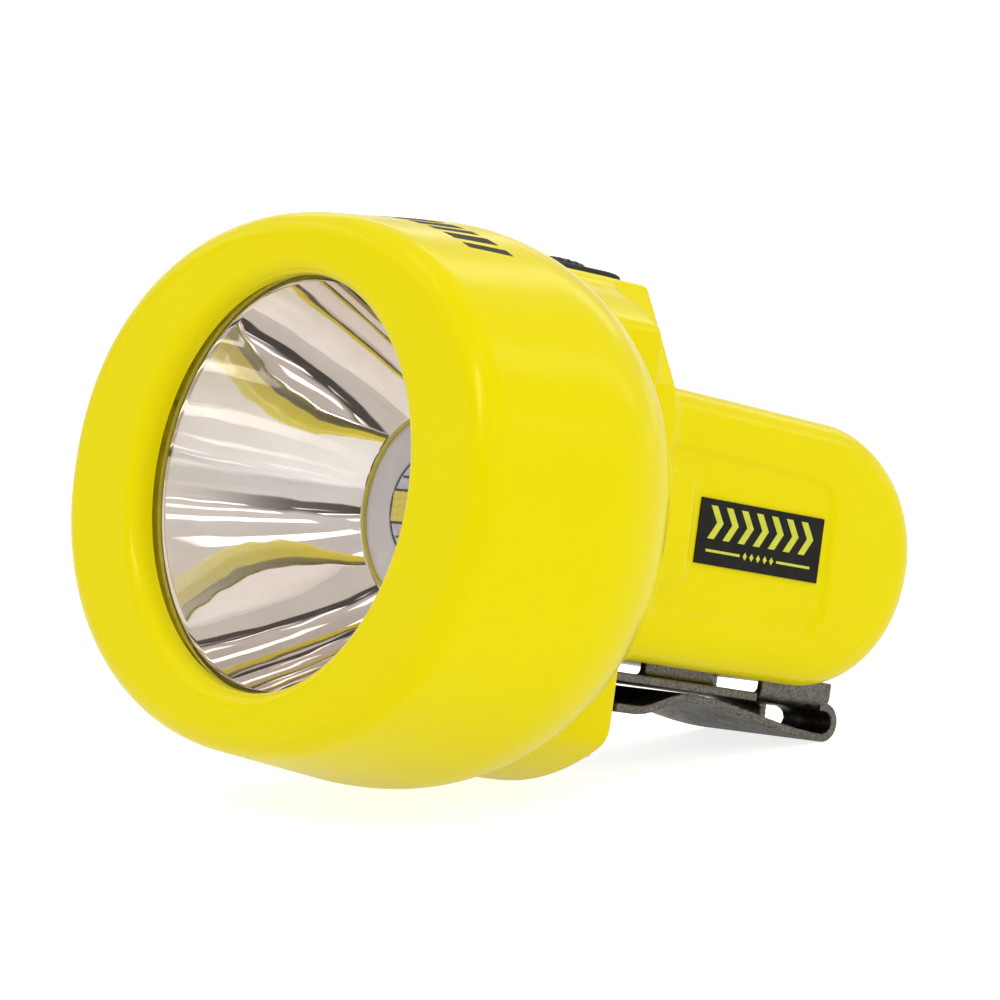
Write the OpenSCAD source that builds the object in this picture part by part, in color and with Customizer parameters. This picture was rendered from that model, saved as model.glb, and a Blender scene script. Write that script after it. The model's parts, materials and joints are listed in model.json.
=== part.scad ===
// Hand-held and clip-on flashlight for firefighters.
// Millimetres. The beam points along -Y, the tail is towards +Y and +Z is up.
// The origin is the centre of the round lens opening.

/* [Head] */
// Radius of the round opening in front of the lens
opening_r = 28; // [26:0.5:29]
// How far the front rim stands in front of the opening's edge
rim_proud = 2.3; // [1.5:0.1:3]
// Half height of the oval head at its front edge
head_half_h = 36.5; // [36:0.1:37.5]
// Half width of the oval head at its front edge
head_half_w = 44.5; // [43.5:0.1:45.5]
// Fullness of the oval, where 2 is an ellipse
oval_power = 2.14; // [2:0.02:2.3]
// Length of the flaring side of the head
head_straight = 22.4; // [20:0.2:23]
// Outward flare of the head's side
head_flare = 2; // [1:0.1:3]
// Radius of the rounded front edge
front_edge_r = 3.7; // [2:0.1:5]
// Radius of the rounded rear shoulder
shoulder_r = 17.1; // [15:0.1:20]
// Wall thickness of the head shell
head_wall = 2.5; // [2:0.1:3]
// Turn that frees the head from its bayonet lugs, in degrees
head_turn = 30; // [20:1:30]

/* [Lens and reflector] */
// Length of the straight bore in front of the lens
bore_l = 1; // [0.8:0.1:1.2]
// Thickness of the clear lens
lens_t = 1.4; // [1.2:0.1:1.6]
// Focal length of the parabolic reflector
focal = 6.3; // [6.2:0.05:6.5]
// Radius of the hole at the back of the reflector
reflector_hole_r = 13.5; // [13:0.1:14]
// Wall thickness of the reflector
reflector_wall = 1.4; // [1:0.1:1.5]

/* [Collar] */
// Radius of the round flange that the head turns on
flange_r = 35.2; // [34.8:0.1:35.5]
// Place of the flange's back face
flange_back = 37; // [36.5:0.1:37.5]
// Place of the rear face of the collar's drum
drum_back = 46; // [44:0.5:48]
// Half width between the flats on the drum's sides
drum_flat = 21.5; // [20:0.5:23]
// Place of the collar's rear face
collar_back = 53; // [52:0.5:54]
// Radius of the neck that plugs into the head
neck_r = 31.9; // [31.5:0.1:32]

/* [Battery housing] */
// Half width of the battery housing
body_half_w = 18; // [17.8:0.1:19]
// Half height of the battery housing, and the radius of its round tail
body_half_h = 18.8; // [18.6:0.1:19.5]
// Height of the housing's axis above the beam's axis
body_z = 2.3; // [1.5:0.1:3]
// Place of the round tail's centre
tail_y = 85.9; // [85:0.1:88]
// Radius of the housing's long edges
body_edge_r = 5; // [3:0.5:6]
// Wall thickness of the battery housing
body_wall = 1.9; // [1.7:0.1:2]
// Depth of the recessed side panels
panel_depth = 0.5; // [0.3:0.1:0.6]
// Length of the black label on each side
label_l = 24; // [20:0.5:25]
// Height of the black label
label_h = 9.1; // [8:0.1:10]

/* [Switch] */
// Half width of the black switch surround
frame_half_w = 5.5; // [5:0.1:6]
// Front end of the surround
frame_front = 33.2; // [33:0.1:33.6]
// Rear end of the surround
frame_back = 52; // [51:0.1:52.3]
// Travel of the push button
press = 1.2; // [0.8:0.1:1.3]

/* [Clip] */
// Thickness of the spring steel sheet
sheet = 1.2; // [1:0.1:1.3]
// Half width of the clip
clip_half_w = 12.3; // [11:0.1:12.6]
// Height of the clip plate's middle plane
plate_z = -18.8; // [-19:0.1:-18.6]
// Place of the hairpin bend's centre
bend_y = 94.9; // [93:0.1:96]
// Radius of the bend, to the middle of the sheet
bend_r = 2.2; // [2:0.1:2.4]
// How far the spring leaf opens, in degrees
leaf_open = 12; // [8:1:14]

/* [Battery pack] */
// Diameter of an AA cell
cell_d = 14.5; // [14:0.1:14.5]
// Length of an AA cell with its terminal
cell_l = 50.5; // [49.5:0.1:50.5]
// Distance between neighbouring cells' axes
cell_pitch = 14.9; // [14.6:0.1:15]

/* [Hidden] */
$fn = 96;
eps = 0.01;

yellow = "#e8dc00";
black = "#1c1c1e";
steel = "#8d8f92";

// Clearances: a turning fit, a loose fit and a visible gap
fit_gap = 0.1;
loose_gap = 0.25;
open_gap = 0.4;

// Head: stations along the beam's axis
rim_y = -rim_proud;
flare_end = rim_y + head_straight;
cavity_end = 23;
flange_front = 28.2;
cup_r = 30.6;
ring_r = cup_r + 2.4;
cup_end = 12;
lens_y = bore_l;
lens_r = cup_r - loose_gap;
seal_t = 0.3;
flange_t = 1.2;
reflector_y = lens_y + lens_t + seal_t;
bowl_r = opening_r - 0.2;
bowl_end = reflector_y + (pow(bowl_r, 2) - pow(reflector_hole_r, 2)) / (4 * focal);
lug_y = 25.6;
lug_t = 1.6;
lug_r = 33.3;
lug_w = 7;

// Lamp unit: stations along the beam's axis
board_y = bowl_end + 0.6;
board_t = 1.2;
sink_y = board_y + board_t;
sink_flange_t = 1.3;
sink_flange_r = 26.5;
sink_boss_r = 14.6;
sink_hollow_r = 12.2;
driver_y = 36.2;
sink_end = driver_y;
driver_t = 1.4;
pad_end = driver_y + driver_t + 0.2;
post_ring_r = 21;
post_r = 2.6;
lead_x = 7.5;
lead_z = 4;
lead_r = 0.6;
led_r = 7.4;
chip_w = 13.8;
chip_h = 4.1;
chip_t = 0.2;
led_t = 0.6;

// Collar and battery housing
platform_z = flange_r;
neck_front = 22;
neck_hollow_r = 28.5;
floor_front = 35.9;
bay_half_w = 15.8;
bay_half_h = body_half_h - body_wall;
bay_edge_r = 4;
core_half_w = 8.5;
core_low = -28.3;
core_top = -18.6;
core_back = 50.6;
room_half_w = 7.5;
room_front = 38;
room_back = 50.5;
room_low = 17;
boss_x = 5.2;
fin_section = [
    [9, platform_z], [11, 32.1], [17.7, 21.2], [18.5, 14], [18.5, -9],
    [13.6, -17.2], [10.5, -30.5]
];
panel_outline = [
    [53, 13.6], [79.5, 12.7], [84.4, 11.6], [85.9, 9.6], [86.3, -6.2],
    [83.7, -8.9], [53, -9.4]
];
tongue_outline = [
    [53, 11.5], [57.6, 9.6], [58.8, 8.3], [59.1, -3.7], [57.8, -5.2], [53, -6.3]
];
label_y = 72.3;
label_t = 0.3;

// Battery pack
front_contact_y = 40.2;
back_contact_y = 93;
contact_t = 0.3;
carrier_front = 38.4;
carrier_half_w = 15.4;
carrier_half_h = 15.2;
carrier_tail_half_h = 11.5;
nub_r = 2.7;
nub_l = 1.2;
contact_places = [[0, 0], [6, -4.6]];

// Switch
button_half_w = 3.6;
button_front = 36.6;
button_back = 47.8;
button_y = (button_front + button_back) / 2;
button_top = 37.3;
button_under = 35.6;
frame_top = 36.4;
well_floor = 33;
roof_under = 31;
stem_r = 1.8;
stem_end = 30.4;
actuator_r = 1.4;
actuator_end = 28.4;
micro_top = 29;
micro_under = 24;

// Clip
hinge_z = plate_z - bend_r;
leaf_front = 54.8;
crest_y = 68.6;
crest_z = -20.4;
mouth_y = 58;
mouth_z = -23.1;
leaf_tail_z = hinge_z - bend_r;
tab_spans = [[60.2, 73.3, 1.2], [81.9, 93, 0]];
tab_top = -15.4;
tongue_half_w = 8;
tongue_front = 50.3;
bend_hole_r = 2.4;

// ---------- helpers ----------

// Revolves a profile of [radius, y] points about the beam's axis
module turned() { rotate([-90, 0, 0]) rotate_extrude() children(); }

// A round bar or hole along Y between two stations
module rod(r, y0, y1) { translate([0, y0, 0]) rotate([-90, 0, 0]) cylinder(r = r, h = y1 - y0); }

// A section drawn as [x, z] and swept along Y between two stations
module along_y(y0, y1) { translate([0, y1, 0]) rotate([90, 0, 0]) linear_extrude(y1 - y0) children(); }

// An outline drawn as [y, z] and swept along X between two stations
module along_x(x0, x1) { translate([x0, 0, 0]) rotate([90, 0, 90]) linear_extrude(x1 - x0) children(); }

// A box from its low corner to its high corner
module block(low, high) { translate(low) cube(high - low); }

// A rectangle with round corners, given by its half sizes
module round_rect(half_w, half_h, r) {
    square([2 * half_w, 2 * (half_h - r)], center = true);
    square([2 * (half_w - r), 2 * half_h], center = true);
    for (x = [-1, 1], z = [-1, 1]) translate([x * (half_w - r), z * (half_h - r)]) circle(r);
}

// A flat slot shape along Y, given by its half width
module slot_plan(half_w, y0, y1) {
    translate([-half_w, y0 + half_w]) square([2 * half_w, y1 - y0 - 2 * half_w]);
    translate([0, y0 + half_w]) circle(half_w);
    translate([0, y1 - half_w]) circle(half_w);
}

function arc(cx, cy, r, from, to, steps) =
    [for (i = [0 : steps]) let (a = from + (to - from) * i / steps) [cx + r * cos(a), cy + r * sin(a)]];

function mirrored(points) =
    concat(points, [for (i = [len(points) - 1 : -1 : 0]) [-points[i][0], points[i][1]]]);

// ---------- head ----------

// Side of the head as [growth of the half sizes, y], shrunk by a wall thickness
function head_profile(wall) = concat(
    arc(-front_edge_r, rim_y + front_edge_r, front_edge_r - wall, -90, -6, 6),
    arc(head_flare - shoulder_r, flare_end, shoulder_r - wall, -6, 84, 14)
);

// Corner of the oval in one direction, for given half sizes
function oval(a, w, h) = [
    sign(cos(a)) * w * pow(abs(cos(a)), 2 / oval_power),
    sign(sin(a)) * h * pow(abs(sin(a)), 2 / oval_power)
];

// Closed solid through one oval for each point of a profile
module oval_form(profile) {
    n = 80;
    last = len(profile) - 1;
    points = [
        for (p = profile, i = [0 : n - 1])
            let (o = oval(360 * i / n, head_half_w + p[0], head_half_h + p[0])) [o[0], p[1], o[1]]
    ];
    walls = [
        for (k = [0 : last - 1], i = [0 : n - 1], side = [0, 1])
            let (j = (i + 1) % n, a = k * n, b = a + n)
            side == 0 ? [a + i, a + j, b + j] : [a + i, b + j, b + i]
    ];
    front = [[for (i = [n - 1 : -1 : 0]) i]];
    rear = [[for (i = [0 : n - 1]) last * n + i]];
    polyhedron(points, concat(walls, front, rear));
}

module bezel() {
    color(yellow) difference() {
        oval_form(head_profile(0));
        intersection() {
            oval_form(head_profile(head_wall));
            rod(80, rim_y, cavity_end);
        }
        rod(ring_r + 0.05, rim_y - 1, cavity_end);
        rod(neck_r + fit_gap, cavity_end - 1, flange_front + 1);
        rod(flange_r + fit_gap, flange_front - 0.2, flare_end + shoulder_r + 1);
        rod(lug_r + loose_gap, lug_y - loose_gap, lug_y + lug_t + loose_gap);
        for (a = [0 : 120 : 240]) rotate([0, a - head_turn, 0])
            block([-lug_w / 2 - 0.5, lug_y, 0], [lug_w / 2 + 0.5, flange_front + 1, lug_r + loose_gap]);
    }
}

// Turned ring with the round opening, the lens seat and the cup behind it
module lens_ring() {
    color(yellow) difference() {
        turned() {
            translate([opening_r + rim_proud, 0]) circle(rim_proud);
            polygon([
                [opening_r, 0], [opening_r + rim_proud, 0], [opening_r + rim_proud, rim_y], [ring_r, rim_y],
                [ring_r, cup_end], [opening_r, cup_end]
            ]);
        }
        rod(cup_r, lens_y, cup_end + 1);
    }
}

module lens() { color("#dfe9ee", 0.35) rod(lens_r, lens_y, lens_y + lens_t); }

module lens_seal() {
    seal_r = opening_r + 0.6;
    color("#8a7f10") turned() translate([seal_r, lens_y + lens_t]) square([lens_r - seal_r, seal_t]);
}

module lens_retainer() {
    color(black) difference() {
        rod(cup_r - 0.1, reflector_y + flange_t, reflector_y + flange_t + 3);
        rod(cup_r - 1.3, reflector_y + flange_t - 1, reflector_y + flange_t + 4);
        for (a = [45 : 90 : 315]) rotate([0, a, 0])
            block([-1.2, reflector_y + flange_t + 1.6, 0], [1.2, reflector_y + flange_t + 4, cup_r]);
    }
}

// Distance along the axis where the bowl has a given radius
function bowl_y(r) = reflector_y + (pow(bowl_r, 2) - pow(r, 2)) / (4 * focal);

module reflector() {
    steps = 24;
    radii = [for (i = [0 : steps]) bowl_r + (reflector_hole_r - bowl_r) * i / steps];
    color("#d8d8dc") difference() {
        union() {
            turned() polygon(concat(
                [for (r = radii) [r, bowl_y(r)]],
                [for (i = [steps : -1 : 0])
                    [radii[i] + reflector_wall, bowl_y(radii[i]) + (i == steps ? 0 : 0.3)]],
                [[lens_r, reflector_y + flange_t], [lens_r, reflector_y]]
            ));
            // Screw posts, cut off inside the bowl's wall so that none shows in the mirror
            difference() {
                for (a = [0 : 120 : 240]) rotate([0, a, 0]) translate([0, 0, post_ring_r])
                    rod(post_r, bowl_y(post_ring_r) + 1.2, sink_y);
                turned() polygon(concat(
                    [[0, reflector_y]], [for (r = radii) [r + 0.6, bowl_y(r)]], [[0, bowl_end]]
                ));
            }
        }
        for (a = [0 : 120 : 240]) rotate([0, a, 0]) translate([0, 0, post_ring_r])
            rod(1, sink_y - 7, sink_y + 1);
    }
}

module led_board() {
    color("#e6e4ea") difference() {
        rod(reflector_hole_r + 1.3, board_y, sink_y);
        for (s = [-1, 1]) translate([lead_x, 0, s * lead_z]) rod(lead_r + 0.1, board_y - 1, sink_y + 1);
    }
}

module led_package() { color("#d9d6e2") rod(led_r, board_y - led_t, board_y); }

module led_chip() {
    color("#f2d21c") block(
        [-chip_w / 2, board_y - led_t - chip_t, -chip_h / 2],
        [chip_w / 2, board_y - led_t, chip_h / 2]
    );
}

module heat_sink() {
    color("#b9bcc0") difference() {
        union() {
            rod(sink_flange_r, sink_y, sink_y + sink_flange_t);
            rod(sink_boss_r, sink_y, sink_end);
        }
        for (a = [0 : 120 : 240]) rotate([0, a, 0]) translate([0, 0, post_ring_r])
            rod(1.4, sink_y - 1, sink_end);
        for (s = [-1, 1]) translate([lead_x, 0, s * lead_z]) rod(lead_r + 0.3, sink_y - 1, sink_end + 1);
        rod(sink_hollow_r, sink_y + sink_flange_t, sink_end + 1);
    }
}

// The two leads run from the LED's board through the heat sink to the driver board
module lamp_leads() {
    color("#c9a24a") for (s = [-1, 1]) translate([lead_x, 0, s * lead_z]) {
        rod(lead_r, board_y - eps, driver_y);
        rod(lead_r + 0.4, board_y - 0.4, board_y);
    }
}

// Pan-head screw along +Y: the shank starts at y0 and the head sits at y1
module screw(shank_r, head_r, head_t, y0, y1) {
    difference() {
        union() {
            rod(shank_r, y0, y1 + eps);
            rod(head_r, y1, y1 + head_t);
        }
        for (a = [0, 90]) rotate([0, a, 0])
            block([-head_r * 0.6, y1 + head_t * 0.5, -0.2], [head_r * 0.6, y1 + head_t + 1, 0.2]);
    }
}

module lamp_screws() {
    color(steel) for (a = [0 : 120 : 240]) rotate([0, a, 0]) translate([0, 0, post_ring_r])
        screw(0.98, 2.1, 1.1, sink_y - 5.5, sink_y + sink_flange_t);
}

module driver_board() { color("#1f6b3a") rod(sink_boss_r - 0.4, driver_y, driver_y + driver_t); }

// Components on the front of the driver board, inside the heat sink's hollow
module driver_parts() {
    color("#3a3a3c") {
        translate([0, 0, 6]) rod(2.6, driver_y - 1.4, driver_y);
        block([-9, driver_y - 1, -4], [-7, driver_y, 4]);
        block([6.5, driver_y - 1, -2.2], [8.5, driver_y, 2.2]);
        block([-3.4, driver_y - 1.2, -8.4], [3.4, driver_y, -3.2]);
    }
}

module terminal_pads() {
    color("#c9a24a") {
        rod(2.4, driver_y + driver_t, pad_end);
        difference() {
            rod(9, driver_y + driver_t, pad_end);
            rod(6.5, driver_y + driver_t - 1, driver_y + driver_t + 1);
        }
    }
}

// ---------- collar and battery housing ----------

// Straight box with a round tail, used for the outside and the inside of the housing
module tailed_box(half_w, half_h, edge_r, y0) {
    translate([0, 0, body_z]) {
        along_y(y0, tail_y) round_rect(half_w, half_h, edge_r);
        translate([0, tail_y, 0]) rotate([0, 90, 0]) rotate_extrude() intersection() {
            rotate(90) round_rect(half_w, half_h, edge_r);
            translate([0, -50]) square([50, 100]);
        }
    }
}

// The bay, and the room for the switch above it, as cut out of the mouldings
module bay_space() {
    tailed_box(bay_half_w, bay_half_h, bay_edge_r, floor_front - 1);
    block([-room_half_w, room_front, room_low], [room_half_w, room_back, roof_under]);
    block([-core_half_w, floor_front - 1, core_low], [core_half_w, core_back, core_top]);
}

// Well that the push button sits in
module switch_well() {
    translate([0, 0, well_floor]) linear_extrude(5)
        slot_plan(button_half_w + 0.5, button_front - 0.5, button_back + 0.5);
}

// Neck tube with the bayonet lugs and the seal groove, and the flange that the head turns on
module neck() {
    color(yellow) difference() {
        union() {
            difference() {
                union() {
                    rod(neck_r, neck_front, flange_front + eps);
                    rod(flange_r, flange_front, flange_back);
                }
                rod(neck_hollow_r, neck_front - 1, floor_front);
            }
            for (a = [0 : 120 : 240]) rotate([0, a, 0])
                block([-lug_w / 2, lug_y, neck_hollow_r + 0.6], [lug_w / 2, lug_y + lug_t, lug_r - 0.4]);
        }
        turned() translate([neck_r - 1.7, 23.3]) square([4, 2]);
        bay_space();
        switch_well();
    }
}

// Drum and fins that carry the switch on top and the clip's tongue below
module collar() {
    color(yellow) difference() {
        union() {
            difference() {
                union() {
                    intersection() {
                        rod(flange_r, flange_back, drum_back);
                        block([-drum_flat, flange_back, -40], [drum_flat, drum_back, 40]);
                    }
                    along_y(flange_back, collar_back) polygon(mirrored(fin_section));
                }
                bay_space();
            }
            for (s = [-1, 1]) translate([s * boss_x, button_y, micro_under])
                cylinder(r = 1.9, h = roof_under - micro_under + 0.5);
        }
        tailed_box(body_half_w, body_half_h, body_edge_r, flange_back - 1);
        // Well and plunger hole of the switch, and the holes for its board's screws
        switch_well();
        translate([0, button_y, roof_under - 1]) cylinder(r = stem_r + loose_gap, h = 4);
        for (s = [-1, 1]) translate([s * boss_x, button_y, micro_under - 1]) cylinder(r = 1.05, h = 4);
        // Slot that holds the clip's tongue
        block([-tongue_half_w - 0.2, tongue_front - 0.3, plate_z - sheet / 2 - 0.1],
              [tongue_half_w + 0.2, collar_back + 1, plate_z + sheet / 2 + 0.1]);
    }
}

// The shallow panel on one side, with the tongue left standing
module side_panel() {
    difference() {
        along_x(body_half_w - panel_depth, body_half_w + 5) difference() {
            polygon(panel_outline);
            polygon(tongue_outline);
        }
        block([-50, 40, -50], [50, collar_back, 50]);
    }
}

// Case of the battery pack, with a side panel on each side and slots for the clip's tabs
module housing() {
    color(yellow) difference() {
        tailed_box(body_half_w, body_half_h, body_edge_r, flange_back);
        bay_space();
        for (s = [0, 1]) mirror([s, 0, 0]) side_panel();
        for (t = tab_spans, s = [0, 1]) mirror([s, 0, 0])
            block([clip_half_w - sheet - t[2] - 0.1, t[0] - 0.1, -20],
                  [clip_half_w - t[2] + 0.1, t[1] + 0.1, tab_top + 0.1]);
    }
}

module neck_seal() {
    tube_r = 0.87;
    color(black) turned() translate([neck_r - 0.83, 24.3]) circle(tube_r);
}

module side_labels() {
    color(black) for (s = [0, 1]) mirror([s, 0, 0])
        block([body_half_w - panel_depth, label_y - label_l / 2, body_z + 0.35 - label_h / 2],
              [body_half_w - panel_depth + label_t, label_y + label_l / 2, body_z + 0.35 + label_h / 2]);
}

// ---------- switch ----------

// Outline of the surround: round in front, square with small corners behind
module frame_plan() {
    corner = 2;
    middle = frame_front + frame_half_w;
    translate([0, middle]) circle(frame_half_w);
    translate([-frame_half_w, middle]) square([2 * frame_half_w, frame_back - corner - middle]);
    translate([corner - frame_half_w, frame_back - corner - eps])
        square([2 * (frame_half_w - corner), corner + eps]);
    for (s = [-1, 1]) translate([s * (frame_half_w - corner), frame_back - corner]) circle(corner);
}

module switch_frame() {
    color(black) difference() {
        intersection() {
            translate([0, 0, platform_z]) linear_extrude(4) frame_plan();
            along_x(-frame_half_w, frame_half_w) polygon([
                [frame_front, platform_z], [frame_front, platform_z + 0.5], [button_front - 0.4, frame_top],
                [button_back + 0.4, frame_top], [frame_back, platform_z + 0.7], [frame_back, platform_z]
            ]);
        }
        translate([0, 0, platform_z - 1]) linear_extrude(5)
            slot_plan(button_half_w + loose_gap, button_front - loose_gap, button_back + loose_gap);
    }
}

module switch_button() {
    color("#262628") {
        translate([0, 0, button_under]) linear_extrude(button_top - button_under)
            slot_plan(button_half_w, button_front, button_back);
        translate([0, button_y, stem_end]) cylinder(r = stem_r, h = button_under - stem_end + eps);
    }
}

module switch_actuator() {
    color("#b7b2a6") translate([0, button_y, actuator_end])
        cylinder(r = actuator_r, h = stem_end - actuator_end);
}

// Rings of a coil spring's wire, swept along +Z: wire, coil radii, height and turns
module coil(wire_r, low_r, high_r, h, turns) {
    sides = 8;
    per_turn = 16;
    rings = per_turn * turns;
    points = [
        for (i = [0 : rings], j = [0 : sides - 1])
            let (f = i / rings, a = 360 * i / per_turn, b = 360 * j / sides)
            let (r = low_r + (high_r - low_r) * f + wire_r * cos(b))
            [r * cos(a), r * sin(a), f * h + wire_r * sin(b)]
    ];
    walls = [
        for (i = [0 : rings - 1], j = [0 : sides - 1])
            let (k = (j + 1) % sides)
            [i * sides + j, i * sides + k, (i + 1) * sides + k, (i + 1) * sides + j]
    ];
    start = [[for (j = [sides - 1 : -1 : 0]) j]];
    end = [[for (j = [0 : sides - 1]) rings * sides + j]];
    polyhedron(points, concat(walls, start, end));
}

module switch_spring() {
    wire_r = 0.2;
    color(steel) translate([0, button_y, well_floor + wire_r])
        coil(wire_r, 2.6, 2.6, button_under - well_floor - 2 * wire_r, 3);
}

module micro_switch() {
    color("#33343a") difference() {
        block([-3, button_y - 3, micro_under], [3, button_y + 3, micro_top]);
        translate([0, button_y, actuator_end - press - 0.4]) cylinder(r = actuator_r + fit_gap, h = 4);
    }
}

module switch_board() {
    color("#1f6b3a") difference() {
        block([-7.2, 38.3, micro_under - 1.4], [7.2, 50.2, micro_under]);
        for (s = [-1, 1]) translate([s * boss_x, button_y, micro_under - 3]) cylinder(r = 1.1, h = 5);
    }
}

module board_screws() {
    color(steel) for (s = [-1, 1]) translate([s * boss_x, button_y, 0]) {
        translate([0, 0, micro_under - 1.4]) cylinder(r = 1, h = 1.4 + 2);
        translate([0, 0, micro_under - 2.4]) cylinder(r = 1.9, h = 1);
    }
}

// ---------- battery pack ----------

module battery_carrier() {
    color(black) translate([0, 0, body_z]) difference() {
        union() {
            along_y(carrier_front, front_contact_y - contact_t)
                round_rect(carrier_half_w, carrier_half_h, bay_edge_r);
            along_y(back_contact_y + contact_t, back_contact_y + contact_t + 1.4)
                round_rect(carrier_half_w - 0.6, carrier_tail_half_h, 3);
            rod(2.7, carrier_front, back_contact_y + contact_t + 1);
        }
        for (p = contact_places) translate([p[0], 0, p[1] - body_z])
            rod(1.1, carrier_front - 1, front_contact_y);
        // Notch for the contact link across the core rod
        block([-4.1, front_contact_y - contact_t, -2.5 - body_z], [1.5, front_contact_y + 0.2, 1.3 - body_z]);
    }
}

// The four cells' places, and whether a cell's positive end points to the tail
cells = [[-1, 1, true], [1, 1, false], [-1, -1, false], [1, -1, true]];

module cell(i) {
    c = cells[i];
    spring_room = back_contact_y - front_contact_y - cell_l;
    low = front_contact_y + (c[2] ? spring_room : 0);
    translate([c[0] * cell_pitch / 2, low + cell_l / 2, body_z + c[1] * cell_pitch / 2])
        rotate([0, 0, c[2] ? 180 : 0]) translate([0, -cell_l / 2, 0]) {
            color("#c9a24a") rod(nub_r, 0, nub_l + eps);
            color("#3b3f46") rod(cell_d / 2, nub_l, cell_l);
        }
}

// One plate touches two neighbouring cells at each end of the pack
module contact_plates() {
    color("#c7c9c6") for (z = [-1, 1]) {
        translate([0, 0, body_z + z * cell_pitch / 2]) {
            block([-12, front_contact_y - contact_t, -4.2], [z > 0 ? 12 : -3, front_contact_y, 4.2]);
            if (z < 0) block([3, front_contact_y - contact_t, -4.2], [12, front_contact_y, 4.2]);
        }
    }
    color("#c7c9c6") block([-4, front_contact_y - contact_t, -2.4], [1.4, front_contact_y, 1.2]);
    color("#c7c9c6") for (x = [-1, 1]) translate([x * cell_pitch / 2, 0, body_z])
        block([-4.2, back_contact_y, -10.5], [4.2, back_contact_y + contact_t, 10.5]);
}

module contact_springs() {
    wire_r = 0.25;
    room = back_contact_y - front_contact_y - cell_l;
    color(steel) for (c = cells) translate([c[0] * cell_pitch / 2, 0, body_z + c[1] * cell_pitch / 2])
        translate([0, c[2] ? front_contact_y + wire_r : back_contact_y - wire_r, 0])
            rotate([c[2] ? -90 : 90, 0, 0]) coil(wire_r, 4, 2.2, room - 2 * wire_r, 3);
}

// Two pins carry the pack's ends through the carrier's front wall to the driver's pads
module contact_buttons() {
    color("#c9a24a") for (p = contact_places) translate([p[0], 0, p[1]])
        rod(1, pad_end + 0.05, front_contact_y - contact_t);
}

// ---------- clip ----------

module clip_base() {
    bend_stop = 16;
    color(steel) difference() {
        union() {
            block([-clip_half_w, collar_back + 0.2, plate_z - sheet / 2],
                  [clip_half_w, bend_y + eps, plate_z + sheet / 2]);
            block([-tongue_half_w, tongue_front, plate_z - sheet / 2],
                  [tongue_half_w, collar_back + 1, plate_z + sheet / 2]);
            for (t = tab_spans, s = [0, 1]) mirror([s, 0, 0])
                block([clip_half_w - sheet - t[2], t[0], plate_z], [clip_half_w - t[2], t[1], tab_top]);
            translate([-clip_half_w, bend_y, hinge_z]) rotate([90, 0, 90]) difference() {
                cylinder(r = bend_r + sheet / 2, h = 2 * clip_half_w);
                translate([0, 0, -1]) cylinder(r = bend_r - sheet / 2, h = 2 * clip_half_w + 2);
                translate([-10, -10, -1]) cube([10, 20, 2 * clip_half_w + 2]);
                rotate(bend_stop) translate([-10, -10, -1]) cube([10, 10, 2 * clip_half_w + 2]);
            }
        }
        translate([0, 0, hinge_z]) rod(bend_hole_r, bend_y + 0.5, bend_y + 5);
    }
}

// Height of the leaf's middle line: flat mouth, rise to the crest, long fall to the tail
function leaf_z(y) =
    y < mouth_y ? mouth_z :
    y < crest_y ? mouth_z + (crest_z - mouth_z) * (1 - cos(180 * (y - mouth_y) / (crest_y - mouth_y))) / 2 :
    crest_z + (leaf_tail_z - crest_z) * (1 - cos(180 * (y - crest_y) / (bend_y - crest_y))) / 2;

module clip_leaf() {
    steps = 28;
    ys = [for (i = [0 : steps]) leaf_front + (bend_y - leaf_front) * i / steps];
    color(steel) along_x(-clip_half_w, clip_half_w) polygon(concat(
        [for (y = ys) [y, leaf_z(y) + sheet / 2]],
        [for (i = [steps : -1 : 0]) [ys[i], leaf_z(ys[i]) - sheet / 2]]
    ));
}

// ---------- assembly ----------

bezel();
lens_ring();
lens();
lens_seal();
lens_retainer();
reflector();
led_board();
led_package();
led_chip();
heat_sink();
lamp_leads();
lamp_screws();
driver_board();
driver_parts();
terminal_pads();
neck();
collar();
housing();
neck_seal();
side_labels();
switch_frame();
switch_button();
switch_spring();
switch_actuator();
micro_switch();
switch_board();
board_screws();
battery_carrier();
cell(0);  // cell_1
cell(1);  // cell_2
cell(2);  // cell_3
cell(3);  // cell_4
contact_plates();
contact_springs();
contact_buttons();
clip_base();
clip_leaf();
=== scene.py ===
"""Looks of the firefighter flashlight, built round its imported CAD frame.

Sizes in this script are millimetres; meshes are scaled to metres as they are made.
The beam points along -Y, the tail is towards +Y and +Z is up.
"""

import json
import math

import bmesh
import bpy
import numpy as np
from mathutils import Matrix, Quaternion, Vector


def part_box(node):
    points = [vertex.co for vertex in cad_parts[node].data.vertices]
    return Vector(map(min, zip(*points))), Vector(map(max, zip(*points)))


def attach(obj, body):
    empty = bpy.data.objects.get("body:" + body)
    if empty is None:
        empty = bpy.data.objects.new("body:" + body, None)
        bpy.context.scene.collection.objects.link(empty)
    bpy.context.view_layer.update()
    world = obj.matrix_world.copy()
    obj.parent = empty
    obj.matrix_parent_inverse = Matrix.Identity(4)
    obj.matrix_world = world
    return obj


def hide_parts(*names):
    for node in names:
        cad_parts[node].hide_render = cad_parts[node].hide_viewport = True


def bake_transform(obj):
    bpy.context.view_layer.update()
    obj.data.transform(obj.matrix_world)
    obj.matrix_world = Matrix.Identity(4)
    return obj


MM = 0.001
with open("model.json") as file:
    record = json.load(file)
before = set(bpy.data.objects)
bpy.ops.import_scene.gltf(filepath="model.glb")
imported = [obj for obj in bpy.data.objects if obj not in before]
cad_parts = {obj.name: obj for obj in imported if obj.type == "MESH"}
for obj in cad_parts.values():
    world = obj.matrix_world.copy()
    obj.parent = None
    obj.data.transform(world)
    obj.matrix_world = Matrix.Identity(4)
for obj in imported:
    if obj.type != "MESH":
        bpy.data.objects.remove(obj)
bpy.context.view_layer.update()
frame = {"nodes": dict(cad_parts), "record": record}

# ---------- driving dimensions, as in the CAD part ----------

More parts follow.
